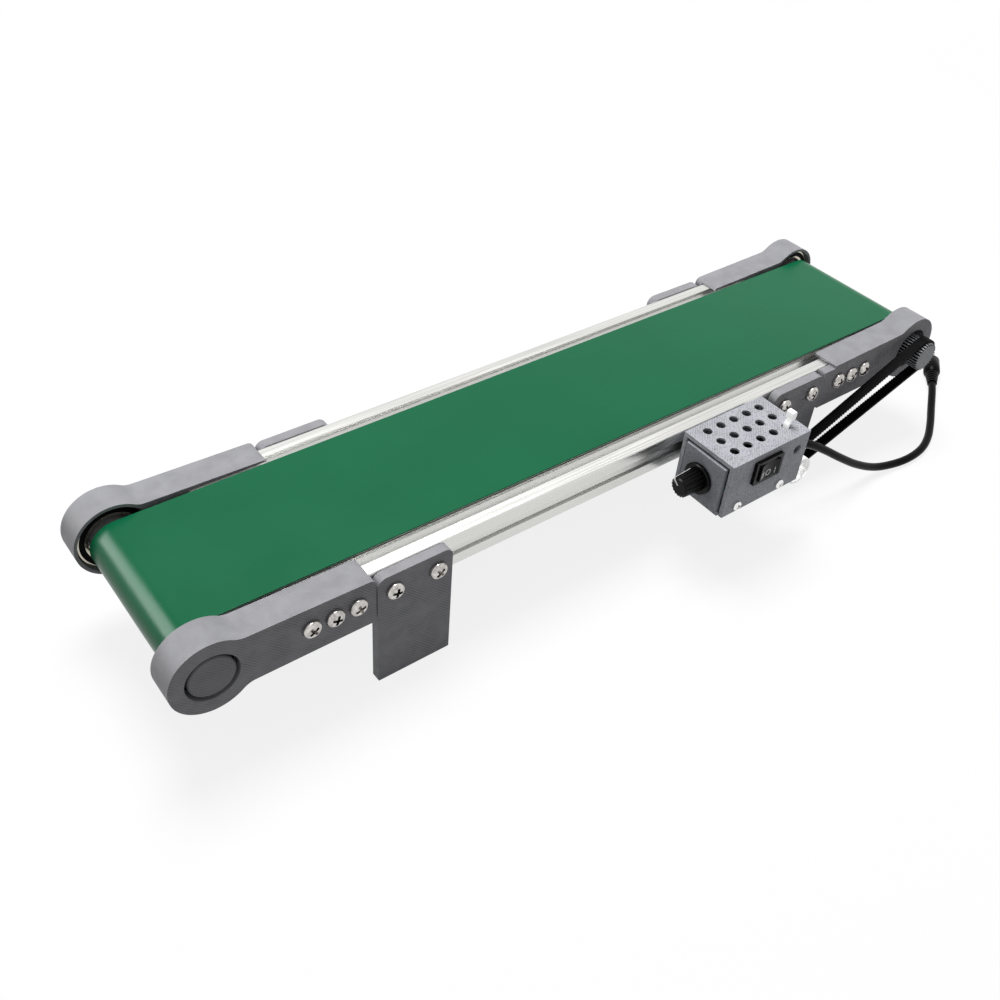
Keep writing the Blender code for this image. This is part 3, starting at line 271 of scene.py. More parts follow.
def makeMaterials():
    materials.update({
        # the last number of a print is painted shade on its faces printed flat: 0.26 on brackets and feet,
        # 0.06 on the box
        "print": printedPla("pla_print", ("#9b9ba0", "#a6a6ab"), "Y", (0.50, 0.62), paintedFaceShade=0.26),
        "boxPrint": printedPla("pla_print_box", ("#bcbec6", "#cacbd1"), "Z", (0.55, 0.70), 0.5, 0.06),
        "panelPrint": printedPla("pla_print_panels", ("#a5a7ae", "#b2b4bb"), "X", (0.55, 0.70), 0.45),
        "pulleyPrint": printedPla("pla_print_pulley", ("#a6a8ab", "#b4b6b9"), "Y", (0.5, 0.62), 0.4),
        "rollerPrint": printedPla("pla_print_rollers", ("#7c7c80", "#858589"), "Y", (0.5, 0.62)),
        "railAlong": anodisedAluminium("anodised_aluminium_rail", "X"),
        "railAcross": anodisedAluminium("anodised_aluminium_tie", "Y"),
        "belt": pvcBelting(),
        "weave": polyesterWeave(),
        "nickel": nickelPlate(),
        # bright zinc on the box's screws: whiter than nickel
        "brightZinc": grained("bright_zinc_steel", ("#d4d4d2", "#ffffff"), (0.16, 0.28), 1, 0.006, 1.0),
        # ground bearing steel: warmer and brighter on its lands
        "bearing": grained("ground_bearing_steel", ("#b9b5a8", "#cfcaba"), (0.15, 0.28), 1.5, 0.003, 1.0),
        # zinc plated motor steel: duller, blue-grey
        "zinc": grained("zinc_plated_steel", ("#a7a9a8", "#bcbdb9"), (0.25, 0.42), 3, 0.006, 1.0),
        # turned aluminium of the small pulley: fine bright tool marks
        "turned": grained("turned_aluminium", ("#b7b8b8", "#cdcecd"), (0.2, 0.35), 0.7, 0.004, 1.0),
        # neoprene of the timing belt and seals: dull black with a bloom
        "neoprene": grained("neoprene", ("#030304", "#080809"), (0.5, 0.68), 1.2, 0.02, specular=0.05),
        # soft PVC of the lead: black with a soft shine
        "leadPvc": grained("soft_pvc", ("#020203", "#060607"), (0.24, 0.34), 4, 0.01, specular=0.06),
        # moulded ABS: black with fine spark texture
        "abs": grained("moulded_abs", ("#030304", "#080809"), (0.20, 0.32), 0.5, 0.01, specular=0.12),
        # nylon of the rocker: black with a soft shine
        "gloss": grained("rocker_nylon", ("#101012", "#161618"), (0.34, 0.46), 5, 0.004, specular=0.12),
        # pad printed marks: flat white ink
        "ink": grained("white_ink", ("#f4f4f0", "#ffffff"), (0.5, 0.6), 1, 0.004),
        # natural nylon of the ties: milky white, with a painted glow standing in for light that goes through
        # it
        "nylon": grained("natural_nylon", ("#fbfbf8", "#ffffff"), (0.40, 0.55), 2, 0.01),
        # grey sheet under the belt: smooth and even
        "acrylic": grained("bed_sheet", ("#8c8f90", "#999c9d"), (0.25, 0.35), 20, 0.004),
        # solder mask over copper: green with a soft shine
        "board": grained("solder_mask", ("#0c4a2a", "#136038"), (0.25, 0.4), 2, 0.02),
        # epoxy of the regulator: dark and dull
        "part": grained("component_epoxy", ("#17181a", "#232427"), (0.4, 0.5), 1, 0.01),
        # polyamide of the terminals: plain blue
        "terminal": grained("terminal_polyamide", ("#1d5a8a", "#23679b"), (0.4, 0.5), 1, 0.01)})
    # painted glow: the nylon emits a little white light
    nylon = materials["nylon"].node_tree.nodes["Principled BSDF"]
    nylon.inputs["Emission Color"].default_value = linear("#ffffff")
    nylon.inputs["Emission Strength"].default_value = 0.3


# shapes

def polar(centre, radius, angle):
    return (centre[0] + radius * math.cos(angle), centre[1] + radius * math.sin(angle))


def arcPoints(centre, radius, first, last, steps):
    turn = math.radians(last - first) / steps
    start = math.radians(first)
    return [polar(centre, radius, start + turn * i) for i in range(steps + 1)]


def circle(centre, radius, steps=48):
    return arcPoints(centre, radius, 0, 360, steps)[:-1]


def roundedBox(low, high, radius, steps=5):
    points = []
    for x, y, start in ((high[0] - radius, high[1] - radius, 0), (low[0] + radius, high[1] - radius, 90),
                        (low[0] + radius, low[1] + radius, 180), (high[0] - radius, low[1] + radius, 270)):
        points += arcPoints((x, y), radius, start, start + 90, steps)
    return points


def extrudeLoops(bm, loops, axis, start, stop):
    # the first loop is the outline, the others are holes; both lie across the axis
    def place(point, along):
        values = list(point)
        values.insert("XYZ".index(axis), along)
        return values
    edges = []
    for loop in loops:
        corners = [bm.verts.new(place(point, start)) for point in loop]
        edges += [bm.edges.new(pair) for pair in zip(corners, corners[1:] + corners[:1])]
    if len(loops) == 1:
        faces = [bm.faces.new(corners)]
    else:
        filled = bmesh.ops.triangle_fill(bm, use_beauty=True, edges=edges)
        faces = [item for item in filled["geom"] if isinstance(item, bmesh.types.BMFace)]
    grown = bmesh.ops.extrude_face_region(bm, geom=faces)
    moved = [item for item in grown["geom"] if isinstance(item, bmesh.types.BMVert)]
    bmesh.ops.translate(bm, verts=moved, vec=Vector(place((0.0, 0.0), stop - start)))
    return moved


def turnProfile(bm, profile, axis, centre, steps=96):
    # spins (radius, along) points about X, Y or Z; a profile off the axis closes into a ring
    direction = Vector([float(letter == axis) for letter in "XYZ"])
    out = Vector((1, 0, 0)) if axis == "Z" else Vector((0, 0, 1))
    centre = Vector(centre)
    points = [bm.verts.new(centre + direction * along + out * radius) for radius, along in profile]
    edges = [bm.edges.new(pair) for pair in zip(points, points[1:])]
    if profile[0][0] > 0:
        edges.append(bm.edges.new((points[-1], points[0])))
    bmesh.ops.spin(bm, geom=points + edges, cent=centre, axis=direction, dvec=(0, 0, 0),
                   angle=2 * math.pi, steps=steps, use_merge=True, use_duplicate=False)
    bmesh.ops.remove_doubles(bm, verts=bm.verts, dist=0.002 * mm)


def drawn(loops, axis, start, stop):
    bm = bmesh.new()
    extrudeLoops(bm, loops, axis, start, stop)
    return bm


def spun(profile, axis, centre, steps=96):
    bm = bmesh.new()
    turnProfile(bm, profile, axis, centre, steps)
    return bm


def cylinder(centre, radius, axis, start, stop, steps=40):
    return spun(((0, start), (radius, start), (radius, stop), (0, stop)), axis, centre, steps)


def boxes(*corners):
    # one box for each pair of opposite corners
    bm = bmesh.new()
    for low, high in corners:
        low, high = Vector(low), Vector(high)
        size = Matrix.Diagonal((*(high - low), 1.0))
        bmesh.ops.create_cube(bm, size=1.0, matrix=Matrix.Translation((low + high) / 2) @ size)
    return bm


def makeObject(name, bm):
    bmesh.ops.recalc_face_normals(bm, faces=bm.faces)
    mesh = bpy.data.meshes.new(name)
    bm.to_mesh(mesh)
    bm.free()
    made = bpy.data.objects.new(name, mesh)
    bpy.context.scene.collection.objects.link(made)
    return made


def carve(piece, bm, operation="DIFFERENCE"):
    cutter = makeObject("cutter", bm)
    boolean = piece.modifiers.new("carve", "BOOLEAN")
    boolean.operation = operation
    boolean.object = cutter
    depsgraph = bpy.context.evaluated_depsgraph_get()
    mesh = bpy.data.meshes.new_from_object(piece.evaluated_get(depsgraph))
    piece.modifiers.clear()
    piece.data = mesh
    mesh.name = piece.name
    bpy.data.objects.remove(cutter)


def finishPiece(piece, look, slot, node="", bevel=0.0, body="conveyor", smooth=32):
    mesh = piece.data
    if mesh.materials:
        mesh.materials[0] = materials[look]
    else:
        mesh.materials.append(materials[look])
    mesh.shade_smooth()
    mesh.set_sharp_from_angle(angle=math.radians(smooth))
    if bevel:
        edge = piece.modifiers.new("edge", "BEVEL")
        edge.width = bevel
        edge.segments = 2
        edge.limit_method = "ANGLE"
        edge.angle_limit = math.radians(smooth)
        edge.harden_normals = True
    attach(piece, body)
    if node:
        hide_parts(node)
    return piece


def addPiece(name, bm, *facts, **more):
    return finishPiece(makeObject(name, bm), *facts, **more)


def refineNode(node, look, slot, bevel):
    # a merged copy of a node whose shape is right, with softened edges
    source = frame["nodes"][node]
    bm = bmesh.new()
    bm.from_mesh(source.data)
    bmesh.ops.remove_doubles(bm, verts=bm.verts, dist=0.002 * mm)
    bmesh.ops.dissolve_limit(bm, angle_limit=math.radians(1), verts=bm.verts, edges=bm.edges)
    addPiece(node + "_finished", bm, look, slot, node, bevel, source["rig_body"])


# rails, ties and bed

rail = {"mouth": 6.2 * mm, "lip": 1.8 * mm, "cavity": 11 * mm, "depth": 6.1 * mm, "shoulder": 0.9 * mm,
        "corner": 1.2 * mm, "core": 4.4 * mm, "edge": 0.15 * mm}


def railSection(centre):
    half = railSize / 2
    mouth, wide = rail["mouth"] / 2, rail["cavity"] / 2
    under = half - rail["lip"]
    turnIn = under - rail["shoulder"]
    deep = half - rail["depth"]
    floor = wide - (turnIn - deep)
    corner = arcPoints((half - rail["corner"], half - rail["corner"]), rail["corner"], 0, 90, 5)
    slot = [(mouth, half), (mouth, under), (wide, under), (wide, turnIn), (floor, deep),
            (-floor, deep), (-wide, turnIn), (-wide, under), (-mouth, under), (-mouth, half)]
    points = []
    for turn in range(4):
        spin = Matrix.Rotation(turn * math.pi / 2, 2)
        points += [spin @ Vector(point) for point in corner + slot]
    return [(centre[0] + p[0], centre[1] + p[1]) for p in points]


def makeRails():
    for node, axis, look in (("rail_near", "X", "railAlong"), ("rail_far", "X", "railAlong"),
                             ("cross_tie_tail", "Y", "railAcross"), ("cross_tie_head", "Y", "railAcross")):
        low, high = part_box(node)
        at = "XYZ".index(axis)
        centre = [value for i, value in enumerate((low + high) / 2) if i != at]
        bm = drawn([railSection(centre), circle(centre, rail["core"] / 2, 24)], axis, low[at], high[at])
        addPiece(node + "_extrusion", bm, look, "aluminium", node, rail["edge"])
    refineNode("slider_bed", "acrylic", "bed_sheet", 0.3 * mm)


# roller brackets and bearings

bracket = {"fillet": 10 * mm, "riseAtBoss": 3 * mm, "riseAtEnd": 1.6 * mm, "drop": 6 * mm, "chamfer": 2 * mm,
           "nose": 3.5 * mm, "headLip": 77 * mm, "bore": 13 * mm, "hole": 2.9 * mm, "edge": 0.6 * mm,
           "past": 10 * mm}


def bracketOutline(boss, arm, axisHeight):
    fillet, chamfer = bracket["fillet"], bracket["chamfer"]
    topBoss = railTop + bracket["riseAtBoss"] - axisHeight
    topEnd = railTop + bracket["riseAtEnd"] - axisHeight
    bottom = axisHeight - railTop + railSize + bracket["drop"]
    span = boss + fillet
    topX = math.sqrt(span ** 2 - (topBoss + fillet) ** 2)
    lowX = math.sqrt(span ** 2 - (bottom + fillet) ** 2)
    topTurn = math.degrees(math.atan2(topBoss + fillet, topX))
    lowTurn = math.degrees(math.atan2(bottom + fillet, lowX))
    points = arcPoints((topX, topBoss + fillet), fillet, -90, topTurn - 180, 10)
    points += arcPoints((0, 0), boss, topTurn, 360 - lowTurn, 72)[1:]
    points += arcPoints((lowX, -bottom - fillet), fillet, 180 - lowTurn, 90, 10)[1:]
    points += [(arm - chamfer, -bottom), (arm, -bottom + chamfer)]
    nose = bracket["nose"]
    return points + arcPoints((arm - nose, topEnd - nose), nose, 0, 90, 8)


def screwHoles(name, count, radius):
    spots = [middleOf(f"{name}_{number}") for number in range(1, count + 1)]
    return [circle((spot.x, spot.z), radius, 32) for spot in spots]


def makeBracket(endName, sideName):
    node, seat = f"{endName}_bracket_{sideName}", f"{endName}_bearing_{sideName}"
    low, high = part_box(node)
    axis, end = (headAxis, 1) if endName == "head" else (tailAxis, -1)
    side = 1 if sideName == "far" else -1
    arm = max(abs(low.x - axis.x), abs(high.x - axis.x))
    outer, inner = (high.y, low.y) if side > 0 else (low.y, high.y)
    railLow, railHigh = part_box(f"rail_{sideName}")
    railFace = railHigh.y if side > 0 else railLow.y
    railEnd = railHigh.x if end > 0 else railLow.x
    loops = [[(axis.x - end * s, axis.z + z) for s, z in bracketOutline(radiusOf(node), arm, axis.z)],
             circle((axis.x, axis.z), bracket["bore"], 96)]
    loops += screwHoles(f"{endName}_bracket_screw_{sideName}", 3, bracket["hole"])
    piece = makeObject(node + "_print", drawn(loops, "Y", outer, inner))

    past = bracket["past"]
    xs = sorted((railEnd + end * clearance, axis.x - end * (arm + past)))
    ys = sorted((railFace + side * clearance, inner - side * past))
    carve(piece, boxes(((xs[0], ys[0], railTop - railSize - 2 * bracket["drop"]),
                        (xs[1], ys[1], railTop + clearance))))
    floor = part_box(seat)[side > 0].y + side * clearance
    start, stop = sorted((floor, inner - side * past))
    carve(piece, cylinder((axis.x, 0, axis.z), radiusOf(seat) + clearance, "Y", start, stop, 96))
    if arm > bracket["headLip"] + mm and end > 0:
        xs = sorted((axis.x - bracket["headLip"], axis.x - arm - past))
        carve(piece, boxes(((xs[0], -1, railTop), (xs[1], 1, railTop + past))))
    finishPiece(piece, "print", "grey_print", node, bracket["edge"])


bearing = {"innerRing": 14.3 * mm, "outerRing": 17.2 * mm, "sealDip": 0.35 * mm, "edge": 0.5 * mm}


def makeBearing(node):
    low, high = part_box(node)
    axis = headAxis if node.startswith("head") else tailAxis
    outer, bore = radiusOf(node), radiusOf("tail_roller")
    edge, dip = bearing["edge"], bearing["sealDip"]
    inside, outside = bearing["innerRing"], bearing["outerRing"]
    near = [(bore + edge, low.y), (inside, low.y), (inside + dip, low.y + dip), (outside - dip, low.y + dip),
            (outside, low.y), (outer - edge, low.y), (outer, low.y + edge)]
    far = [(radius, low.y + high.y - along) for radius, along in reversed(near)]
    bm = spun(near + far + [(bore, high.y - edge), (bore, low.y + edge)], "Y", (axis.x, 0, axis.z))
    for face in bm.faces:
        spot = face.calc_center_median()
        reach = math.hypot(spot.x - axis.x, spot.z - axis.z)
        # seals, and on the drive side painted shade: a black inner ring round the journal
        face.material_index = int(inside < reach < outside or (reach < inside and node.endswith("near")))
    piece = makeObject(node + "_rings", bm)
    piece.data.materials.append(materials["bearing"])
    piece.data.materials.append(materials["neoprene"])
    finishPiece(piece, "bearing", "bearing_steel", node)


def makeEnds():
    for endName in ("tail", "head"):
        for sideName in ("near", "far"):
            makeBracket(endName, sideName)
            makeBearing(f"{endName}_bearing_{sideName}")


# rollers and belt

roller = {"edge": 0.6 * mm, "shoulder": 0.6 * mm, "stub": 4 * mm, "gap": 1.2 * mm}


def makeRollers():
    beltLow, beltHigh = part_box("conveyor_belt")
    drumLow, drumHigh = beltLow.y - roller["shoulder"], beltHigh.y + roller["shoulder"]
    for node, axis, near in (("tail_roller", tailAxis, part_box("tail_roller")[0].y),
                             ("drive_roller", headAxis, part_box("drive_pulley")[1].y + clearance)):
        low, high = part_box(node)
        radius, edge = radiusOf(node), roller["edge"]
        journal = radius - roller["gap"]
        profile = [(0, near), (journal - edge, near), (journal, near + edge), (journal, drumLow),
                   (radius, drumLow), (radius, drumHigh), (journal, drumHigh), (journal, high.y - edge),
                   (journal - edge, high.y), (0, high.y)]
        if low.y < near - clearance:
            profile[0:1] = [(0, low.y), (roller["stub"], low.y), (roller["stub"], near)]
        bm = spun(profile, "Y", (axis.x, 0, axis.z))
        addPiece(node + "_print", bm, "rollerPrint", "grey_print", node, body=node)


belt = {"cover": 0.6 * mm, "ply": 0.6 * mm, "steps": 48, "edge": 0.15 * mm}


def beltLoop(big, bigRadius, small, smallRadius, steps):
    # round two circles in the XZ plane, the first one further along X
    lean = math.degrees(math.atan2(big.z - small.z, big.x - small.x))
    apart = math.hypot(big.x - small.x, big.z - small.z)
    wrap = math.degrees(math.acos((bigRadius - smallRadius) / apart))
    first = arcPoints((big.x, big.z), bigRadius, lean - 180 + wrap, lean + 180 - wrap, steps)
    return first, arcPoints((small.x, small.z), smallRadius, lean + 180 - wrap, lean + 180 + wrap, steps)


def makeBelt():
    low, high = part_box("conveyor_belt")
    outer = radiusOf("conveyor_belt")
    seam = outer - belt["cover"]
    rings = [sum(beltLoop(headAxis, radius, tailAxis, radius, belt["steps"]), [])
             for radius in (outer, seam, seam - belt["ply"])]
    cover, ply = [drawn(rings[i:i + 2], "Y", low.y, high.y) for i in (0, 1)]
    addPiece("belt_cover", cover, "belt", "belt_pvc", "conveyor_belt", belt["edge"])
    addPiece("belt_ply", ply, "weave", "belt_pvc")


# feet, screws

foot = {"corner": 5 * mm, "hole": 2.9 * mm, "edge": 0.4 * mm, "bossHole": 3.8 * mm}


def makeFeet():
    for node, end, side in (("tail_foot_near", "tail", "near"), ("tail_foot_far", "tail", "far"),
                            ("head_foot_far", "head", "far"), ("motor_plate", "head", "near")):
        low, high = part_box(node)
        corner = foot["corner"]
        outline = [(low.x, low.z), (high.x, low.z)]
        outline += arcPoints((high.x - corner, high.z - corner), corner, 0, 90, 10)
        outline += arcPoints((low.x + corner, high.z - corner), corner, 90, 180, 10)
        loops = [outline] + screwHoles(f"{end}_foot_screw_{side}", 2, foot["hole"])
        if node == "motor_plate":
            loops.append(circle((motorAxis.x, motorAxis.z), foot["bossHole"], 48))
        addPiece(node + "_print", drawn(loops, "Y", low.y, high.y), "print", "grey_print", node, foot["edge"])


# shares of the head, whose dome is a list of radii and heights
panScrew = {"recess": 0.62, "blade": 0.165, "deep": 0.9, "taper": 0.7,
            "dome": ((1, 0), (1, 0.30), (0.97, 0.50), (0.86, 0.72), (0.66, 0.88), (0.40, 0.97), (0, 1))}
screwSizes = {"frame": (3 * mm, 2.5 * mm), "box": (1.9 * mm, 1.5 * mm)}      # head height, shank radius


def makeScrewMesh(head, height, shank, length):
    # a pan head with a cross recess; its shank points along -Z
    profile = [(0.0, -length), (shank, -length), (shank, 0.0)]
    profile += [(head * radius, height * along) for radius, along in panScrew["dome"]]
    piece = makeObject("screw", spun(profile, "Z", (0, 0, 0), 40))
    blade, reach, taper = panScrew["blade"] * head, panScrew["recess"] * head, panScrew["taper"]
    corners = [Vector(corner) for corner in ((blade, -blade), (reach, -blade), (reach, blade))]
    outline = []
    for turn in range(4):
        outline += [tuple(Matrix.Rotation(turn * math.pi / 2, 2) @ corner) for corner in corners]
    cross = bmesh.new()
    bottom = extrudeLoops(cross, [outline], "Z", height * 1.2, height * (1 - panScrew["deep"]))
    bmesh.ops.scale(cross, vec=(taper, taper, 1), verts=bottom)
    carve(piece, cross)
    mesh = piece.data
    bpy.data.objects.remove(piece)
    return mesh


def makeScrews():
    shapes = {}
    for order, node in enumerate(sorted(node for node in frame["nodes"] if "_screw_" in node)):
        low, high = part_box(node)
        side = 1 if "_far" in node else -1
        kind, look = ("box", "brightZinc") if node.startswith("box") else ("frame", "nickel")
        height, shank = screwSizes[kind]
        if kind not in shapes:
            shapes[kind] = makeScrewMesh(radiusOf(node), height, shank, high.y - low.y - height)
        centre = middleOf(node)
        seat = (high.y if side > 0 else low.y) - side * height
        mesh = shapes[kind].copy()
        twist = Matrix.Rotation(math.radians(37 * order + 20), 4, "Z")      # each stopped at its own angle
        face = Matrix.Rotation(-side * math.pi / 2, 4, "X")
        mesh.transform(Matrix.Translation((centre.x, seat, centre.z)) @ face @ twist)
        piece = bpy.data.objects.new(node + "_pan_head", mesh)
        bpy.context.scene.collection.objects.link(piece)
        finishPiece(piece, look, "nickel_steel", node)


# timing belt drive

drive = {"pitch": 2 * mm, "teeth": 30, "motorTeeth": 20, "tooth": 1.1 * mm, "shadeBelowTip": 0.3 * mm,
         "bevel": 0.12 * mm, "bore": 4.3 * mm, "cap": 2.5 * mm, "flange": 2.2 * mm, "flangeThickness": 1 * mm,
         "flangeGap": 0.4 * mm, "hub": 7.75 * mm, "edge": 0.3 * mm, "shaft": 2.3 * mm,
         "beltThickness": 1.4 * mm, "beltTooth": 0.7 * mm}


def toothRadius(teeth):
    return teeth * drive["pitch"] / (2 * math.pi) - 0.25 * mm


def toothedOutline(centre, teeth):
    tip = toothRadius(teeth)
    root = tip - drive["tooth"]
    shape = ((0.06, tip - 0.1 * mm), (0.12, tip), (0.48, tip), (0.54, tip - 0.1 * mm),
             (0.60, root + 0.15 * mm), (0.68, root), (0.92, root), (0.99, root + 0.15 * mm))
    return [polar((centre.x, centre.z), radius, 2 * math.pi * (tooth + share) / teeth)
            for tooth in range(teeth) for share, radius in shape]


def makePulleys():
    low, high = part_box("drive_pulley")
    outline = toothedOutline(headAxis, drive["teeth"])
    piece = makeObject("drive_pulley_print", drawn([outline], "Y", low.y, high.y))
    start = low.y + drive["cap"]
    carve(piece, cylinder((headAxis.x, 0, headAxis.z), drive["bore"], "Y", start, high.y + mm, 48))
    # painted shade: the faces deep in the grooves get black neoprene
    piece.data.materials.append(materials["pulleyPrint"])
    piece.data.materials.append(materials["neoprene"])
    tip = toothRadius(drive["teeth"])
    for face in piece.data.polygons:
        reach = math.hypot(face.center.x - headAxis.x, face.center.z - headAxis.z)
        turned = abs(face.normal.y) < 0.5
        face.material_index = int(turned and tip - drive["tooth"] - mm < reach < tip - drive["shadeBelowTip"])
    finishPiece(piece, "pulleyPrint", "grey_print", "drive_pulley", drive["bevel"], "drive_roller", 40)

    low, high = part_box("motor_pulley")
    flange = toothRadius(drive["motorTeeth"]) + drive["flange"]
    thick, edge, core, hub = drive["flangeThickness"], drive["edge"], drive["shaft"], drive["hub"]
    beltLow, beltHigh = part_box("timing_belt")
    near, far = beltLow.y - drive["flangeGap"], beltHigh.y + drive["flangeGap"]
    centre = (motorAxis.x, 0, motorAxis.z)
    bm = spun(((core, near - thick), (flange - edge, near - thick), (flange, near - thick + edge),
               (flange, near), (core, near)), "Y", centre)
    turnProfile(bm, ((core, far), (flange, far), (flange, far + thick), (hub, far + thick),
                     (hub, high.y - edge), (hub - edge, high.y), (core, high.y)), "Y", centre)
    teeth = toothedOutline(motorAxis, drive["motorTeeth"])
    extrudeLoops(bm, [teeth, circle((motorAxis.x, motorAxis.z), core, 32)], "Y", near - edge, far + edge)
    addPiece("motor_pulley_turned", bm, "turned", "pulley_aluminium", "motor_pulley",
             body="motor_spindle", smooth=40)

    low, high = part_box("motor_shaft")
    radius = radiusOf("motor_shaft")
    bm = spun(((0, low.y), (radius - edge, low.y), (radius, low.y + edge), (radius, high.y), (0, high.y)),
              "Y", centre, 48)
    addPiece("motor_shaft_turned", bm, "nickel", "nickel_steel", "motor_shaft", body="motor_spindle")


def toothRun(start, stop, height):
    # points from start to stop with belt teeth standing to the left of the way
    start, stop = Vector(start), Vector(stop)
    along = (stop - start).normalized()
    left = Vector((-along.y, along.x))
    count = int((stop - start).length / drive["pitch"]) - 3     # the last ones would touch the pulleys' tips
    first = ((stop - start).length - count * drive["pitch"]) / 2
    points = [start]
    for tooth in range(count):
        for share, rise in ((0.22, 0.0), (0.34, 0.85), (0.42, 1.0), (0.58, 1.0), (0.66, 0.85), (0.78, 0.0)):
            points.append(start + along * (first + (tooth + share) * drive["pitch"]) + left * height * rise)
    return [tuple(point) for point in points + [stop]]


def makeTimingBelt():
    low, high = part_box("timing_belt")
    big = toothRadius(drive["teeth"]) + clearance
    small = toothRadius(drive["motorTeeth"]) + clearance
    thick = drive["beltThickness"]
    outer = sum(beltLoop(headAxis, big + thick, motorAxis, small + thick, 40), [])
    head, motor = beltLoop(headAxis, big, motorAxis, small, 40)
    upper = toothRun(head[-1], motor[0], drive["beltTooth"])
    lower = toothRun(motor[-1], head[0], drive["beltTooth"])
    inner = head[:-1] + upper + motor[1:-1] + lower[:-1]
    addPiece("timing_belt_moulded", drawn([outer, inner], "Y", low.y, high.y), "neoprene", "black_rubber",
             "timing_belt", smooth=40)


gearMotor = {"gearbox": 21 * mm, "can": 12 * mm, "edge": 0.6 * mm, "boss": 3.5 * mm, "bossHeight": 2.5 * mm,
             "step": 0.8 * mm, "capHeight": 2 * mm, "cap": 5 * mm, "capEdge": 0.4 * mm,
             "tabs": 8 * mm, "tab": (0.3 * mm, 1.4 * mm), "tabRoot": 0.2 * mm}


def makeMotor():
    low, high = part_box("gear_motor")
    face = low.y + gearMotor["bossHeight"]
    seam = face + gearMotor["gearbox"]
    edge, can, boss, cap = gearMotor["edge"], gearMotor["can"], gearMotor["boss"], gearMotor["cap"]
    back, step, capEdge = high.y - gearMotor["capHeight"], gearMotor["step"], gearMotor["capEdge"]
    radius = radiusOf("gear_motor")
    socket, socketEnd = radiusOf("motor_shaft") + clearance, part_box("motor_shaft")[1].y + clearance
    profile = [(0, socketEnd), (socket, socketEnd), (socket, low.y), (boss, low.y), (boss, face),
               (radius - edge, face), (radius, face + edge), (radius, seam - edge), (radius - edge, seam),
               (can - edge, seam), (can - edge, seam + step), (can, seam + step), (can, back - edge),
               (can - edge, back), (cap, back), (cap, high.y - capEdge), (cap - capEdge, high.y), (0, high.y)]
    bm = spun(profile, "Y", (motorAxis.x, 0, motorAxis.z))
    addPiece("gear_motor_case", bm, "zinc", "motor_steel", "gear_motor")
    thin, tall = gearMotor["tab"]
    tabs = boxes(*[((motorAxis.x + x - thin, back - gearMotor["tabRoot"], motorAxis.z - tall),
                    (motorAxis.x + x + thin, high.y, motorAxis.z + tall))
                   for x in (-gearMotor["tabs"], gearMotor["tabs"])])
    addPiece("motor_terminals", tabs, "nickel", "nickel_steel", bevel=0.1 * mm)


# control box

box = {"wall": 2.4 * mm, "vent": 2.65 * mm, "skin": 1.2 * mm, "sunk": 4 * mm, "pitch": 10 * mm,
       "columns": 5, "rows": 3, "ventOffset": (0.8 * mm, 1.8 * mm), "sideHole": 2.8 * mm,
       "sideHoleAt": (7.8 * mm, 9.9 * mm), "edge": 0.45 * mm, "past": 10 * mm,
       "window": (9.8 * mm, 6.75 * mm), "bushing": 3.8 * mm, "neck": 4.2 * mm, "floor": 2 * mm,
       "lug": (8 * mm, 6 * mm, 6.8 * mm), "seam": 1.1 * mm, "screwHole": 1.9 * mm, "lugHole": 1.8 * mm,
       "baseEdge": 0.3 * mm}


def boxHole(piece, spot, radius, axis, depth):
    carve(piece, cylinder(spot, radius, axis, -depth, depth))


def makeCover():
    low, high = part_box("box_cover")
    wall, past, skin = box["wall"], box["past"], box["skin"]
    piece = makeObject("box_cover_print", boxes((low, high)))
    carve(piece, boxes(((low.x - past, low.y + wall, low.z - past),
                        (high.x + past, high.y - wall, high.z - wall))))
    xMiddle = (low.x + high.x) / 2 + box["ventOffset"][0]
    yMiddle = (low.y + high.y) / 2 + box["ventOffset"][1]
    # each hole is wider inside, behind a thin skin
    for radius, z, depth in ((box["vent"], high.z, 3 * wall), (box["sunk"], high.z - skin - past / 2, past)):
        vents = bmesh.new()
        for column in range(box["columns"]):
            for row in range(box["rows"]):
                x = xMiddle + (column - (box["columns"] - 1) / 2) * box["pitch"]
                y = yMiddle - (row - (box["rows"] - 1) / 2) * box["pitch"]
                bmesh.ops.create_cone(vents, cap_ends=True, segments=40, radius1=radius, radius2=radius,
                                      depth=depth, matrix=Matrix.Translation((x, y, z)))
        carve(piece, vents)
    x, z = high.x - box["sideHoleAt"][0], high.z - box["sideHoleAt"][1]
    boxHole(piece, (x, low.y, z), box["sideHole"], "Y", wall + mm)
    boxHole(piece, (x, low.y + skin + past, z), box["sunk"], "Y", past)
    for number in (1, 2):
        spot = middleOf(f"box_screw_{number}")
        boxHole(piece, (spot.x, low.y, spot.z), box["screwHole"], "Y", wall + mm)
    wide, tall = box["window"]
    carve(piece, boxes(((rockerAxis.x - wide, low.y - past, rockerAxis.z - tall),
                        (rockerAxis.x + wide, low.y + wall + mm, rockerAxis.z + tall))))
    finishPiece(piece, "boxPrint", "box_print", "box_cover", box["edge"])


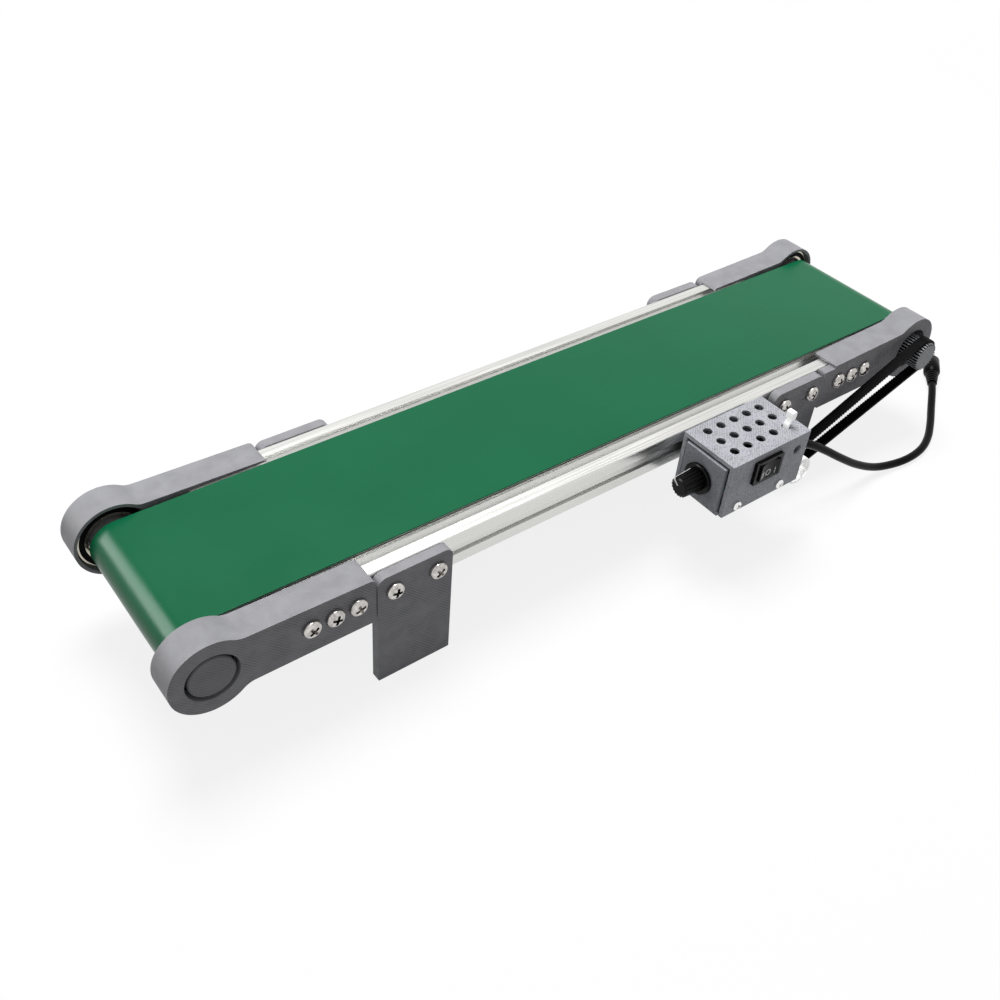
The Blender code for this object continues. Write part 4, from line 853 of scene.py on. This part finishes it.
def makeBase():
    low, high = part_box("box_base")
    wall, floor, seam, past = box["wall"], low.z + box["floor"], box["seam"], box["past"]
    top = high.z - seam
    outline = [(low.x, low.z), (high.x, low.z), (high.x, top), (high.x - wall, top),
               (high.x - wall, floor), (low.x + wall, floor), (low.x + wall, top), (low.x, top)]
    piece = makeObject("box_base_print", drawn([outline], "Y", low.y, high.y))
    sides = []
    for start, end in ((low.x - past, low.x + wall + mm), (high.x - wall - mm, high.x + past)):
        sides += [((start, low.y - past, floor), (end, low.y + seam, high.z + past)),
                  ((start, high.y - seam, floor), (end, high.y + past, high.z + past))]
    carve(piece, boxes(*sides))
    wide, deep, tall = box["lug"]
    screws = [middleOf(f"box_screw_{number}") for number in (1, 2)]
    lugs = [((spot.x - wide / 2, low.y, floor - mm), (spot.x + wide / 2, low.y + deep, floor + tall))
            for spot in screws]
    carve(piece, boxes(*lugs), "UNION")
    for spot in screws:
        boxHole(piece, (spot.x, low.y, spot.z), box["lugHole"], "Y", deep + mm)
    exit = middleOf("cord_grommet")
    boxHole(piece, (low.x, knobAxis.y, knobAxis.z), box["bushing"], "X", wall + mm)
    boxHole(piece, (high.x, exit.y, exit.z), box["neck"], "X", wall + mm)
    finishPiece(piece, "panelPrint", "box_print", "box_base", box["baseEdge"])
    refineNode("box_mount", "panelPrint", "box_print", 0.4 * mm)


knob = {"skirtHeight": 2 * mm, "base": 6.6 * mm, "top": 5.9 * mm, "ribs": 18, "ribDepth": 0.5 * mm,
        "rim": 0.6 * mm, "well": 4.1 * mm, "wellDepth": 4 * mm, "shaft": 2 * mm, "cap": 2 * mm,
        "capEdge": 0.5 * mm, "wall": 0.4 * mm, "pointer": 1.1 * mm, "pointerAt": 127, "proud": 0.08 * mm}


def knobRibs(radius):
    shape = ((0.0, 1.0), (0.18, 0.75), (0.32, 0.15), (0.46, 0.0), (0.62, 0.0), (0.80, 0.2), (0.92, 0.75))
    return [polar((knobAxis.y, knobAxis.z), radius - depth * knob["ribDepth"],
                  2 * math.pi * (rib + share) / knob["ribs"])
            for rib in range(knob["ribs"]) for share, depth in shape]


def makeKnob():
    low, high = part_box("speed_knob")
    skirt, seat = radiusOf("speed_knob"), knobAxis.x
    skirtTop, wellEnd = seat - knob["skirtHeight"], seat - knob["wellDepth"]
    rim, well, shaft, capEnd = knob["rim"], knob["well"], knob["shaft"], low.x + knob["cap"]
    core, cap = well + knob["wall"], knob["top"] - knob["capEdge"]
    centre = (0, knobAxis.y, knobAxis.z)
    # skirt and ribbed grip are hollow for the bushing, the cap carries the shaft
    bm = spun(((well, skirtTop), (skirt - rim, skirtTop), (skirt, skirtTop + rim), (skirt, seat),
               (well, seat)), "X", centre)
    grip = [knobRibs(knob["base"]), circle(centre[1:], well)]
    moved = extrudeLoops(bm, grip, "X", skirtTop + 0.2 * mm, low.x + rim)
    taper = knob["top"] / knob["base"]
    bmesh.ops.scale(bm, vec=(1, taper, taper), verts=moved, space=Matrix.Translation(-Vector(centre)))
    turnProfile(bm, ((0, low.x), (knob["top"] - 1.2 * mm, low.x), (cap, low.x + rim), (cap, capEnd),
                     (core, capEnd), (core, wellEnd), (shaft, wellEnd), (shaft, high.x), (0, high.x)),
                "X", centre)
    addPiece("speed_knob_moulded", bm, "abs", "black_plastic", "speed_knob", body="speed_knob")

    half, proud = knob["pointer"] / 2, knob["proud"]
    top, base = knob["top"] + proud, knob["base"] + proud
    outline = [(skirtTop, base - mm), (skirtTop, base), (low.x + rim, top), (low.x - proud, top - 1.1 * mm),
               (low.x - proud, 1.2 * mm), (low.x + 0.5 * mm, 1.2 * mm), (low.x + 0.5 * mm, top - 1.6 * mm),
               (low.x + rim + 0.4 * mm, top - mm)]
    line = drawn([outline], "Z", -half, half)
    turn = Matrix.Rotation(math.radians(knob["pointerAt"] - 90), 3, "X")
    bmesh.ops.rotate(line, cent=(0, 0, 0), matrix=turn, verts=line.verts)
    bmesh.ops.translate(line, vec=centre, verts=line.verts)
    addPiece("knob_pointer", line, "ink", "white_nylon", body="speed_knob")
    refineNode("potentiometer", "zinc", "motor_steel", 0.3 * mm)


switch = {"corner": 1.2 * mm, "pocket": (16.6 * mm, 10.7 * mm), "body": (19 * mm, 12.9 * mm),
          "pocketDepth": 7.2 * mm, "bezel": 2 * mm, "edge": 0.25 * mm, "rockerEdge": 0.3 * mm,
          "dish": 3.1 * mm, "rise": 4.4 * mm, "bow": 2.2, "keel": 2.6 * mm, "spine": 3 * mm,
          "mark": 0.55 * mm, "markHeight": 4 * mm, "markDrop": 2 * mm, "markProud": 0.12 * mm,
          "markSunk": 0.3 * mm, "strokes": (-5.3 * mm, -4 * mm, 4.8 * mm)}


def makeSwitch():
    low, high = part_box("switch_housing")
    face, centre, rim = low.y, rockerAxis, low.y + switch["bezel"]

    def around(size, radius):
        wide, tall = size[0] / 2, size[1] / 2
        return roundedBox((centre.x - wide, centre.z - tall), (centre.x + wide, centre.z + tall), radius, 2)
    bezel = roundedBox((low.x, low.z), (high.x, high.z), switch["corner"])
    hole, shell = around(switch["pocket"], 0.3 * mm), around(switch["body"], 0.5 * mm)
    bm = drawn([bezel, hole], "Y", face, rim)
    extrudeLoops(bm, [shell, hole], "Y", rim, face + switch["pocketDepth"])
    extrudeLoops(bm, [shell], "Y", face + switch["pocketDepth"], high.y)
    addPiece("switch_housing_moulded", bm, "abs", "black_plastic", "switch_housing", switch["edge"])

    low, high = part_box("rocker")
    reach = (high.x - low.x) / 2
    spine, dish, keel = switch["spine"], switch["dish"], switch["keel"]

    def faceHeight(share):
        return dish + (switch["rise"] - dish) * share ** switch["bow"]
    turns = [math.cos(math.radians(angle)) for angle in range(0, 181, 10)]
    outline = [(-reach, -clearance), (-spine, -keel), (spine, -keel), (reach, -clearance)]
    outline += [(reach * turn, faceHeight(abs(turn))) for turn in turns]
    bm = drawn([[(centre.x + a, centre.y - b) for a, b in outline]], "Z", low.z, high.z)
    addPiece("rocker_moulded", bm, "gloss", "gloss_black", "rocker", switch["rockerEdge"], "rocker", 40)

    # off in the middle, one way and the other way at the ends
    stroke, height, middle = switch["mark"] / 2, switch["markHeight"] / 2, centre.z - switch["markDrop"]
    proud, sunk = switch["markProud"], switch["markSunk"]
    tops = [centre.y - faceHeight(abs(x) / reach) for x in switch["strokes"]]
    marks = boxes(*[((centre.x + x - stroke, top - proud, middle - height),
                     (centre.x + x + stroke, top + sunk, middle + height))
                    for x, top in zip(switch["strokes"], tops)])
    ring = [circle((centre.x, middle), radius, 32) for radius in (height, height - 2 * stroke)]
    extrudeLoops(marks, ring, "Y", centre.y - dish - proud, centre.y - dish + sunk)
    addPiece("rocker_marks", marks, "ink", "white_nylon", body="rocker")


board = {"thickness": 1.6 * mm, "regulator": (6 * mm, 20 * mm, 16 * mm, 6 * mm, 8.6 * mm),
         "terminals": (14 * mm, 6 * mm, 20 * mm, 6 * mm, 6.8 * mm)}


def makeBoard():
    low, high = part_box("speed_board")
    top = low.z + board["thickness"]
    laminate = boxes((low, (high.x, high.y, top)))
    addPiece("board_laminate", laminate, "board", "circuit_board", "speed_board", 0.1 * mm)
    start, end, back, front, tall = board["regulator"]
    regulator = boxes(((low.x + start, high.y - back, top), (low.x + end, high.y - front, top + tall)))
    addPiece("board_regulator", regulator, "part", "black_plastic", bevel=0.5 * mm)
    start, end, back, front, tall = board["terminals"]
    terminals = boxes(((high.x - start, high.y - back, top), (high.x - end, high.y - front, top + tall)))
    addPiece("board_terminals", terminals, "terminal", "black_plastic", bevel=0.4 * mm)


# cable ties

tie = {"thickness": 1.2 * mm, "headWide": 4.5 * mm, "headThick": 3.5 * mm, "headCorner": 0.8 * mm,
       "bendAt": 0.8 * mm, "inset": 0.5 * mm, "edge": 0.2 * mm, "loop": 8.6 * mm, "loopEnd": -150,
       "lockAt": -38, "lock": (2.2 * mm, 4.4 * mm), "lockIn": 1.2 * mm}


def makeTies():
    low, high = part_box("cable_tie")
    half = tie["thickness"] / 2
    x = low.x + half
    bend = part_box("box_cover")[1].z + tie["bendAt"]
    neck = high.z - tie["headWide"]
    middle = high.x - tie["headThick"] / 2
    left, right = [], []
    for step in range(9):
        share = step / 8
        smooth = share * share * (3 - 2 * share)
        at = (x + (middle - x) * smooth, bend + (neck - bend) * share)
        left.append((at[0] - half, at[1]))
        right.append((at[0] + half, at[1]))
    strap = [(x - half, low.z), (x + half, low.z)] + right + left[::-1]
    bm = drawn([strap], "Y", low.y + tie["inset"], high.y - tie["inset"])
    head = roundedBox((middle - tie["headThick"] / 2, neck - 0.2 * mm), (high.x, high.z), tie["headCorner"])
    extrudeLoops(bm, [head], "Y", low.y, high.y)
    addPiece("cable_tie_nylon", bm, "nylon", "white_nylon", "cable_tie", tie["edge"])

    low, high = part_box("tie_loop")
    outer, inner = tie["loop"], tie["loop"] - tie["thickness"]
    centre = (high.x - outer, high.z - outer)
    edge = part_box("box_cover")[1].x + clearance - centre[0]
    first, within = [math.degrees(math.acos(edge / radius)) for radius in (outer, inner)]
    outline = arcPoints(centre, outer, first, tie["loopEnd"], 40)
    outline += arcPoints(centre, inner, tie["loopEnd"], within, 40)
    addPiece("tie_loop_nylon", drawn([outline], "Y", low.y, high.y), "nylon", "white_nylon", "tie_loop",
             tie["edge"])
    angle, away = math.radians(tie["lockAt"]), outer - tie["lockIn"]
    spot = Matrix.Translation((centre[0] + away * math.cos(angle), (low.y + high.y) / 2,
                               centre[1] + away * math.sin(angle)))
    size = Matrix.Diagonal((tie["lock"][0], high.y - low.y, tie["lock"][1], 1))
    turn = Matrix.Rotation(angle, 4, "Y")
    lock = bmesh.new()
    bmesh.ops.create_cube(lock, size=1.0, matrix=spot @ turn.inverted() @ size)
    addPiece("tie_loop_lock", lock, "nylon", "white_nylon", bevel=0.4 * mm)


# power lead

lead = {"diameter": 5 * mm, "route": (
    (0.1034, -0.0800, 0.0495), (0.1130, -0.0804, 0.0485), (0.1230, -0.0820, 0.0448),
    (0.1360, -0.0846, 0.0367), (0.1510, -0.0874, 0.0262), (0.1680, -0.0896, 0.0152),
    (0.1860, -0.0916, 0.0065), (0.2030, -0.0940, 0.0030), (0.2180, -0.0956, 0.0026),
    (0.2330, -0.0940, 0.0026), (0.2470, -0.0886, 0.0026), (0.2610, -0.0801, 0.0028),
    (0.2750, -0.0702, 0.0034), (0.2890, -0.0600, 0.0050), (0.2964, -0.0543, 0.0056))}


def smoothRoute(points, steps):
    padded = [2 * points[0] - points[1]] + points + [2 * points[-1] - points[-2]]
    curve = []
    for a, b, c, d in zip(padded, padded[1:], padded[2:], padded[3:]):
        for step in range(steps):
            t = step / steps
            curve.append(0.5 * (2 * b + (c - a) * t + (2 * a - 5 * b + 4 * c - d) * t ** 2
                                + (3 * b - a - 3 * c + d) * t ** 3))
    return curve + [points[-1]]


def makeLead():
    middleY = headAxis.y            # the route is written from the middle of the rails
    route = [Vector((x, y + middleY, z)) for x, y, z in lead["route"]]
    points = smoothRoute(route, 8)
    data = bpy.data.curves.new("power_lead", "CURVE")
    data.dimensions = "3D"
    data.bevel_depth = lead["diameter"] / 2
    data.bevel_resolution = 6
    data.use_fill_caps = True
    data.materials.append(materials["leadPvc"])
    spline = data.splines.new("POLY")
    spline.points.add(len(points) - 1)
    for slot, point in zip(spline.points, points):
        slot.co = (*point, 1.0)
    spline.use_smooth = True
    cable = bpy.data.objects.new("power_lead", data)
    bpy.context.scene.collection.objects.link(cable)
    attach(cable, "conveyor")
    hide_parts("power_cord")
    plug = makePlug(route)


def reliefRib(radius, at, pitch, groove, first=0.0):
    return [(radius, at + first), (radius, at + 0.6 * pitch), (radius - groove, at + 0.7 * pitch),
            (radius - groove, at + 0.95 * pitch)]


plugShape = {"relief": 12 * mm, "reliefRadius": 4.2 * mm, "ribs": 5, "groove": 0.8 * mm, "body": 17 * mm,
             "bodyRadius": 5.5 * mm, "edge": 0.8 * mm, "barrel": 9.5 * mm, "barrelRadius": 2.75 * mm,
             "barrelEdge": 0.2 * mm, "bore": 1.3 * mm, "boreMouth": 1.7 * mm, "height": 5.6 * mm}


def makePlug(route):
    heading = route[-1] - route[-2]
    start = clearance
    relief, body = start + plugShape["relief"], start + plugShape["relief"] + plugShape["body"]
    radius, groove = plugShape["reliefRadius"], plugShape["groove"]
    profile = [(0, start), (radius - mm, start)]
    pitch = plugShape["relief"] / plugShape["ribs"]
    for rib in range(plugShape["ribs"]):
        at = start + rib * pitch
        grow = mm * (1 - rib / (plugShape["ribs"] - 1))
        profile += reliefRib(radius - grow, at, pitch, groove, 0.05 * mm)
    wide, edge = plugShape["bodyRadius"], plugShape["edge"]
    profile += [(radius, relief), (wide - edge, relief + mm), (wide, relief + 2.4 * mm), (wide, body - edge),
                (wide - 0.3 * mm, body - 0.3 * mm), (wide - edge, body), (0, body)]
    tube, tip, rounding = plugShape["barrelRadius"], body + plugShape["barrel"], plugShape["barrelEdge"]
    bore, mouth = plugShape["bore"], plugShape["boreMouth"]
    barrel = [(0, body - mm), (tube, body - mm), (tube, tip - rounding), (tube - rounding, tip),
              (mouth, tip), (bore, tip - 0.3 * mm), (bore, body), (0, body)]
    place = Matrix.Translation((route[-1].x, route[-1].y, plugShape["height"]))
    place = place @ Matrix.Rotation(math.atan2(heading.y, heading.x), 4, "Z")
    pieces = []
    for name, shape, *facts in (("plug_moulded", profile, "leadPvc", "black_plastic", "dc_plug"),
                                ("plug_barrel", barrel, "nickel", "nickel_steel")):
        bm = spun(shape, "X", (0, 0, 0), 64)
        bmesh.ops.transform(bm, matrix=place, verts=bm.verts)
        pieces.append(addPiece(name, bm, *facts))
    return pieces


grommet = {"neck": 3.9 * mm, "nose": 3.3 * mm, "flange": 1.6 * mm, "edge": 0.4 * mm, "ribs": 3,
           "lead": 0.8 * mm, "groove": 0.7 * mm}


def makeGrommet():
    low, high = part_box("cord_grommet")
    flange, edge, groove, ribs = radiusOf("cord_grommet"), grommet["edge"], grommet["groove"], grommet["ribs"]
    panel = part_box("box_base")[1].x
    neck, nose, rim = grommet["neck"], grommet["nose"], panel + grommet["flange"]
    profile = [(0, low.x), (neck, low.x), (neck, panel + clearance), (flange, panel + clearance),
               (flange, rim - edge), (flange - edge, rim), (neck, rim + edge)]
    pitch = (high.x - rim - grommet["lead"]) / ribs
    for rib in range(ribs):
        at = rim + grommet["lead"] + rib * pitch
        outer = neck + (nose - neck) * (rib + 0.5) / ribs
        profile += reliefRib(outer, at, pitch, groove)
    profile += [(nose, high.x - 0.05 * mm), (nose - 0.2 * mm, high.x), (0, high.x)]
    centre = middleOf("cord_grommet")
    bm = spun(profile, "X", (0, centre.y, centre.z), 64)
    addPiece("cord_grommet_moulded", bm, "neoprene", "black_rubber", "cord_grommet")


# floor, lamps and world

studio = {"floorGlow": 0.84, "shadowReach": 0.5, "whiteFrom": 1.2, "bounce": "#a4a4a4", "worldLight": 0.25}
lamps = {"key_softbox": (37.0, (0.1, 0.55, 2.0), 0.9), "fill_softbox": (2.0, (-0.2, 0.1, 2.4), 1.8),
         "rim_lamp": (14.0, (-0.85, 0.58, 0.55), 0.6)}     # watts, place, width


def addLamp(name, energy, position, size):
    data = bpy.data.lights.new(name, "AREA")
    data.energy = energy
    data.size = size
    lamp = bpy.data.objects.new(name, data)
    bpy.context.scene.collection.objects.link(lamp)
    lamp.location = position
    lamp.rotation_euler = (-Vector(position)).to_track_quat("-Z", "Y").to_euler()
    lamp.visible_diffuse = name != "rim_lamp"      # only its shine on the belt's turn is wanted


def seenDirectly(tree):
    rays = [addNode(tree, "LightPath", output=f"Is {kind} Ray") for kind in ("Camera", "Glossy")]
    return addMath(tree, "MAXIMUM", *rays)


def makeStudio():
    bm = bmesh.new()
    bmesh.ops.create_grid(bm, x_segments=1, y_segments=1, size=4.0,
                          matrix=Matrix.Translation((0, 0, -0.2 * mm)))
    floor = makeObject("floor", bm)
    material = bpy.data.materials.new("white_sweep")
    material.use_nodes = True
    tree = material.node_tree
    tree.nodes.clear()
    seen = seenDirectly(tree)
    diffuse = addNode(tree, "BsdfDiffuse", {"Color": mixColours(tree, seen, studio["bounce"], "#ffffff")})
    glow = addNode(tree, "Emission", {"Color": linear("#ffffff"), "Strength": 1.0})
    # the floor glows fully beyond the shadow, so that no horizon shows
    reach = addNode(tree, "VectorMath", {0: objectSpace(tree)}, "Value", operation="LENGTH")
    level = addRange(tree, reach, studio["shadowReach"], studio["whiteFrom"], studio["floorGlow"], 1.0)
    mixed = addNode(tree, "MixShader", {0: addMath(tree, "MULTIPLY", seen, level), 1: diffuse, 2: glow})
    under = addNode(tree, "NewGeometry", output="Backfacing")      # seen from below, the floor isn't there
    sided = addNode(tree, "MixShader", {0: under, 1: mixed, 2: addNode(tree, "BsdfTransparent")})
    addNode(tree, "OutputMaterial", {"Surface": sided})
    floor.data.materials.append(material)

    world = bpy.data.worlds.new("studio")
    bpy.context.scene.world = world
    world.use_nodes = True
    tree = world.node_tree
    tree.nodes.clear()
    through = addNode(tree, "LightPath", output="Is Transmission Ray")
    seen = addMath(tree, "MAXIMUM", seenDirectly(tree), through)
    level = addRange(tree, seen, 0.0, 1.0, studio["worldLight"], 1.0)
    back = addNode(tree, "Background", {"Color": linear("#ffffff"), "Strength": level})
    addNode(tree, "OutputWorld", {"Surface": back})
    for name, facts in lamps.items():
        addLamp(name, *facts)
    bpy.context.scene.view_settings.view_transform = "Standard"


def main():
    makeCamera()
    makeMaterials()
    makeLead()
    print("lead done")
    makeRails()
    makeEnds()
    print("frame done")
    makeRollers()
    makeBelt()
    makeFeet()
    makeScrews()
    print("rollers, belt, feet and screws done")
    makePulleys()
    makeTimingBelt()
    makeMotor()
    print("drive done")
    makeCover()
    makeBase()
    makeKnob()
    makeSwitch()
    makeBoard()
    makeTies()
    makeGrommet()
    print("box done")
    makeStudio()


main()
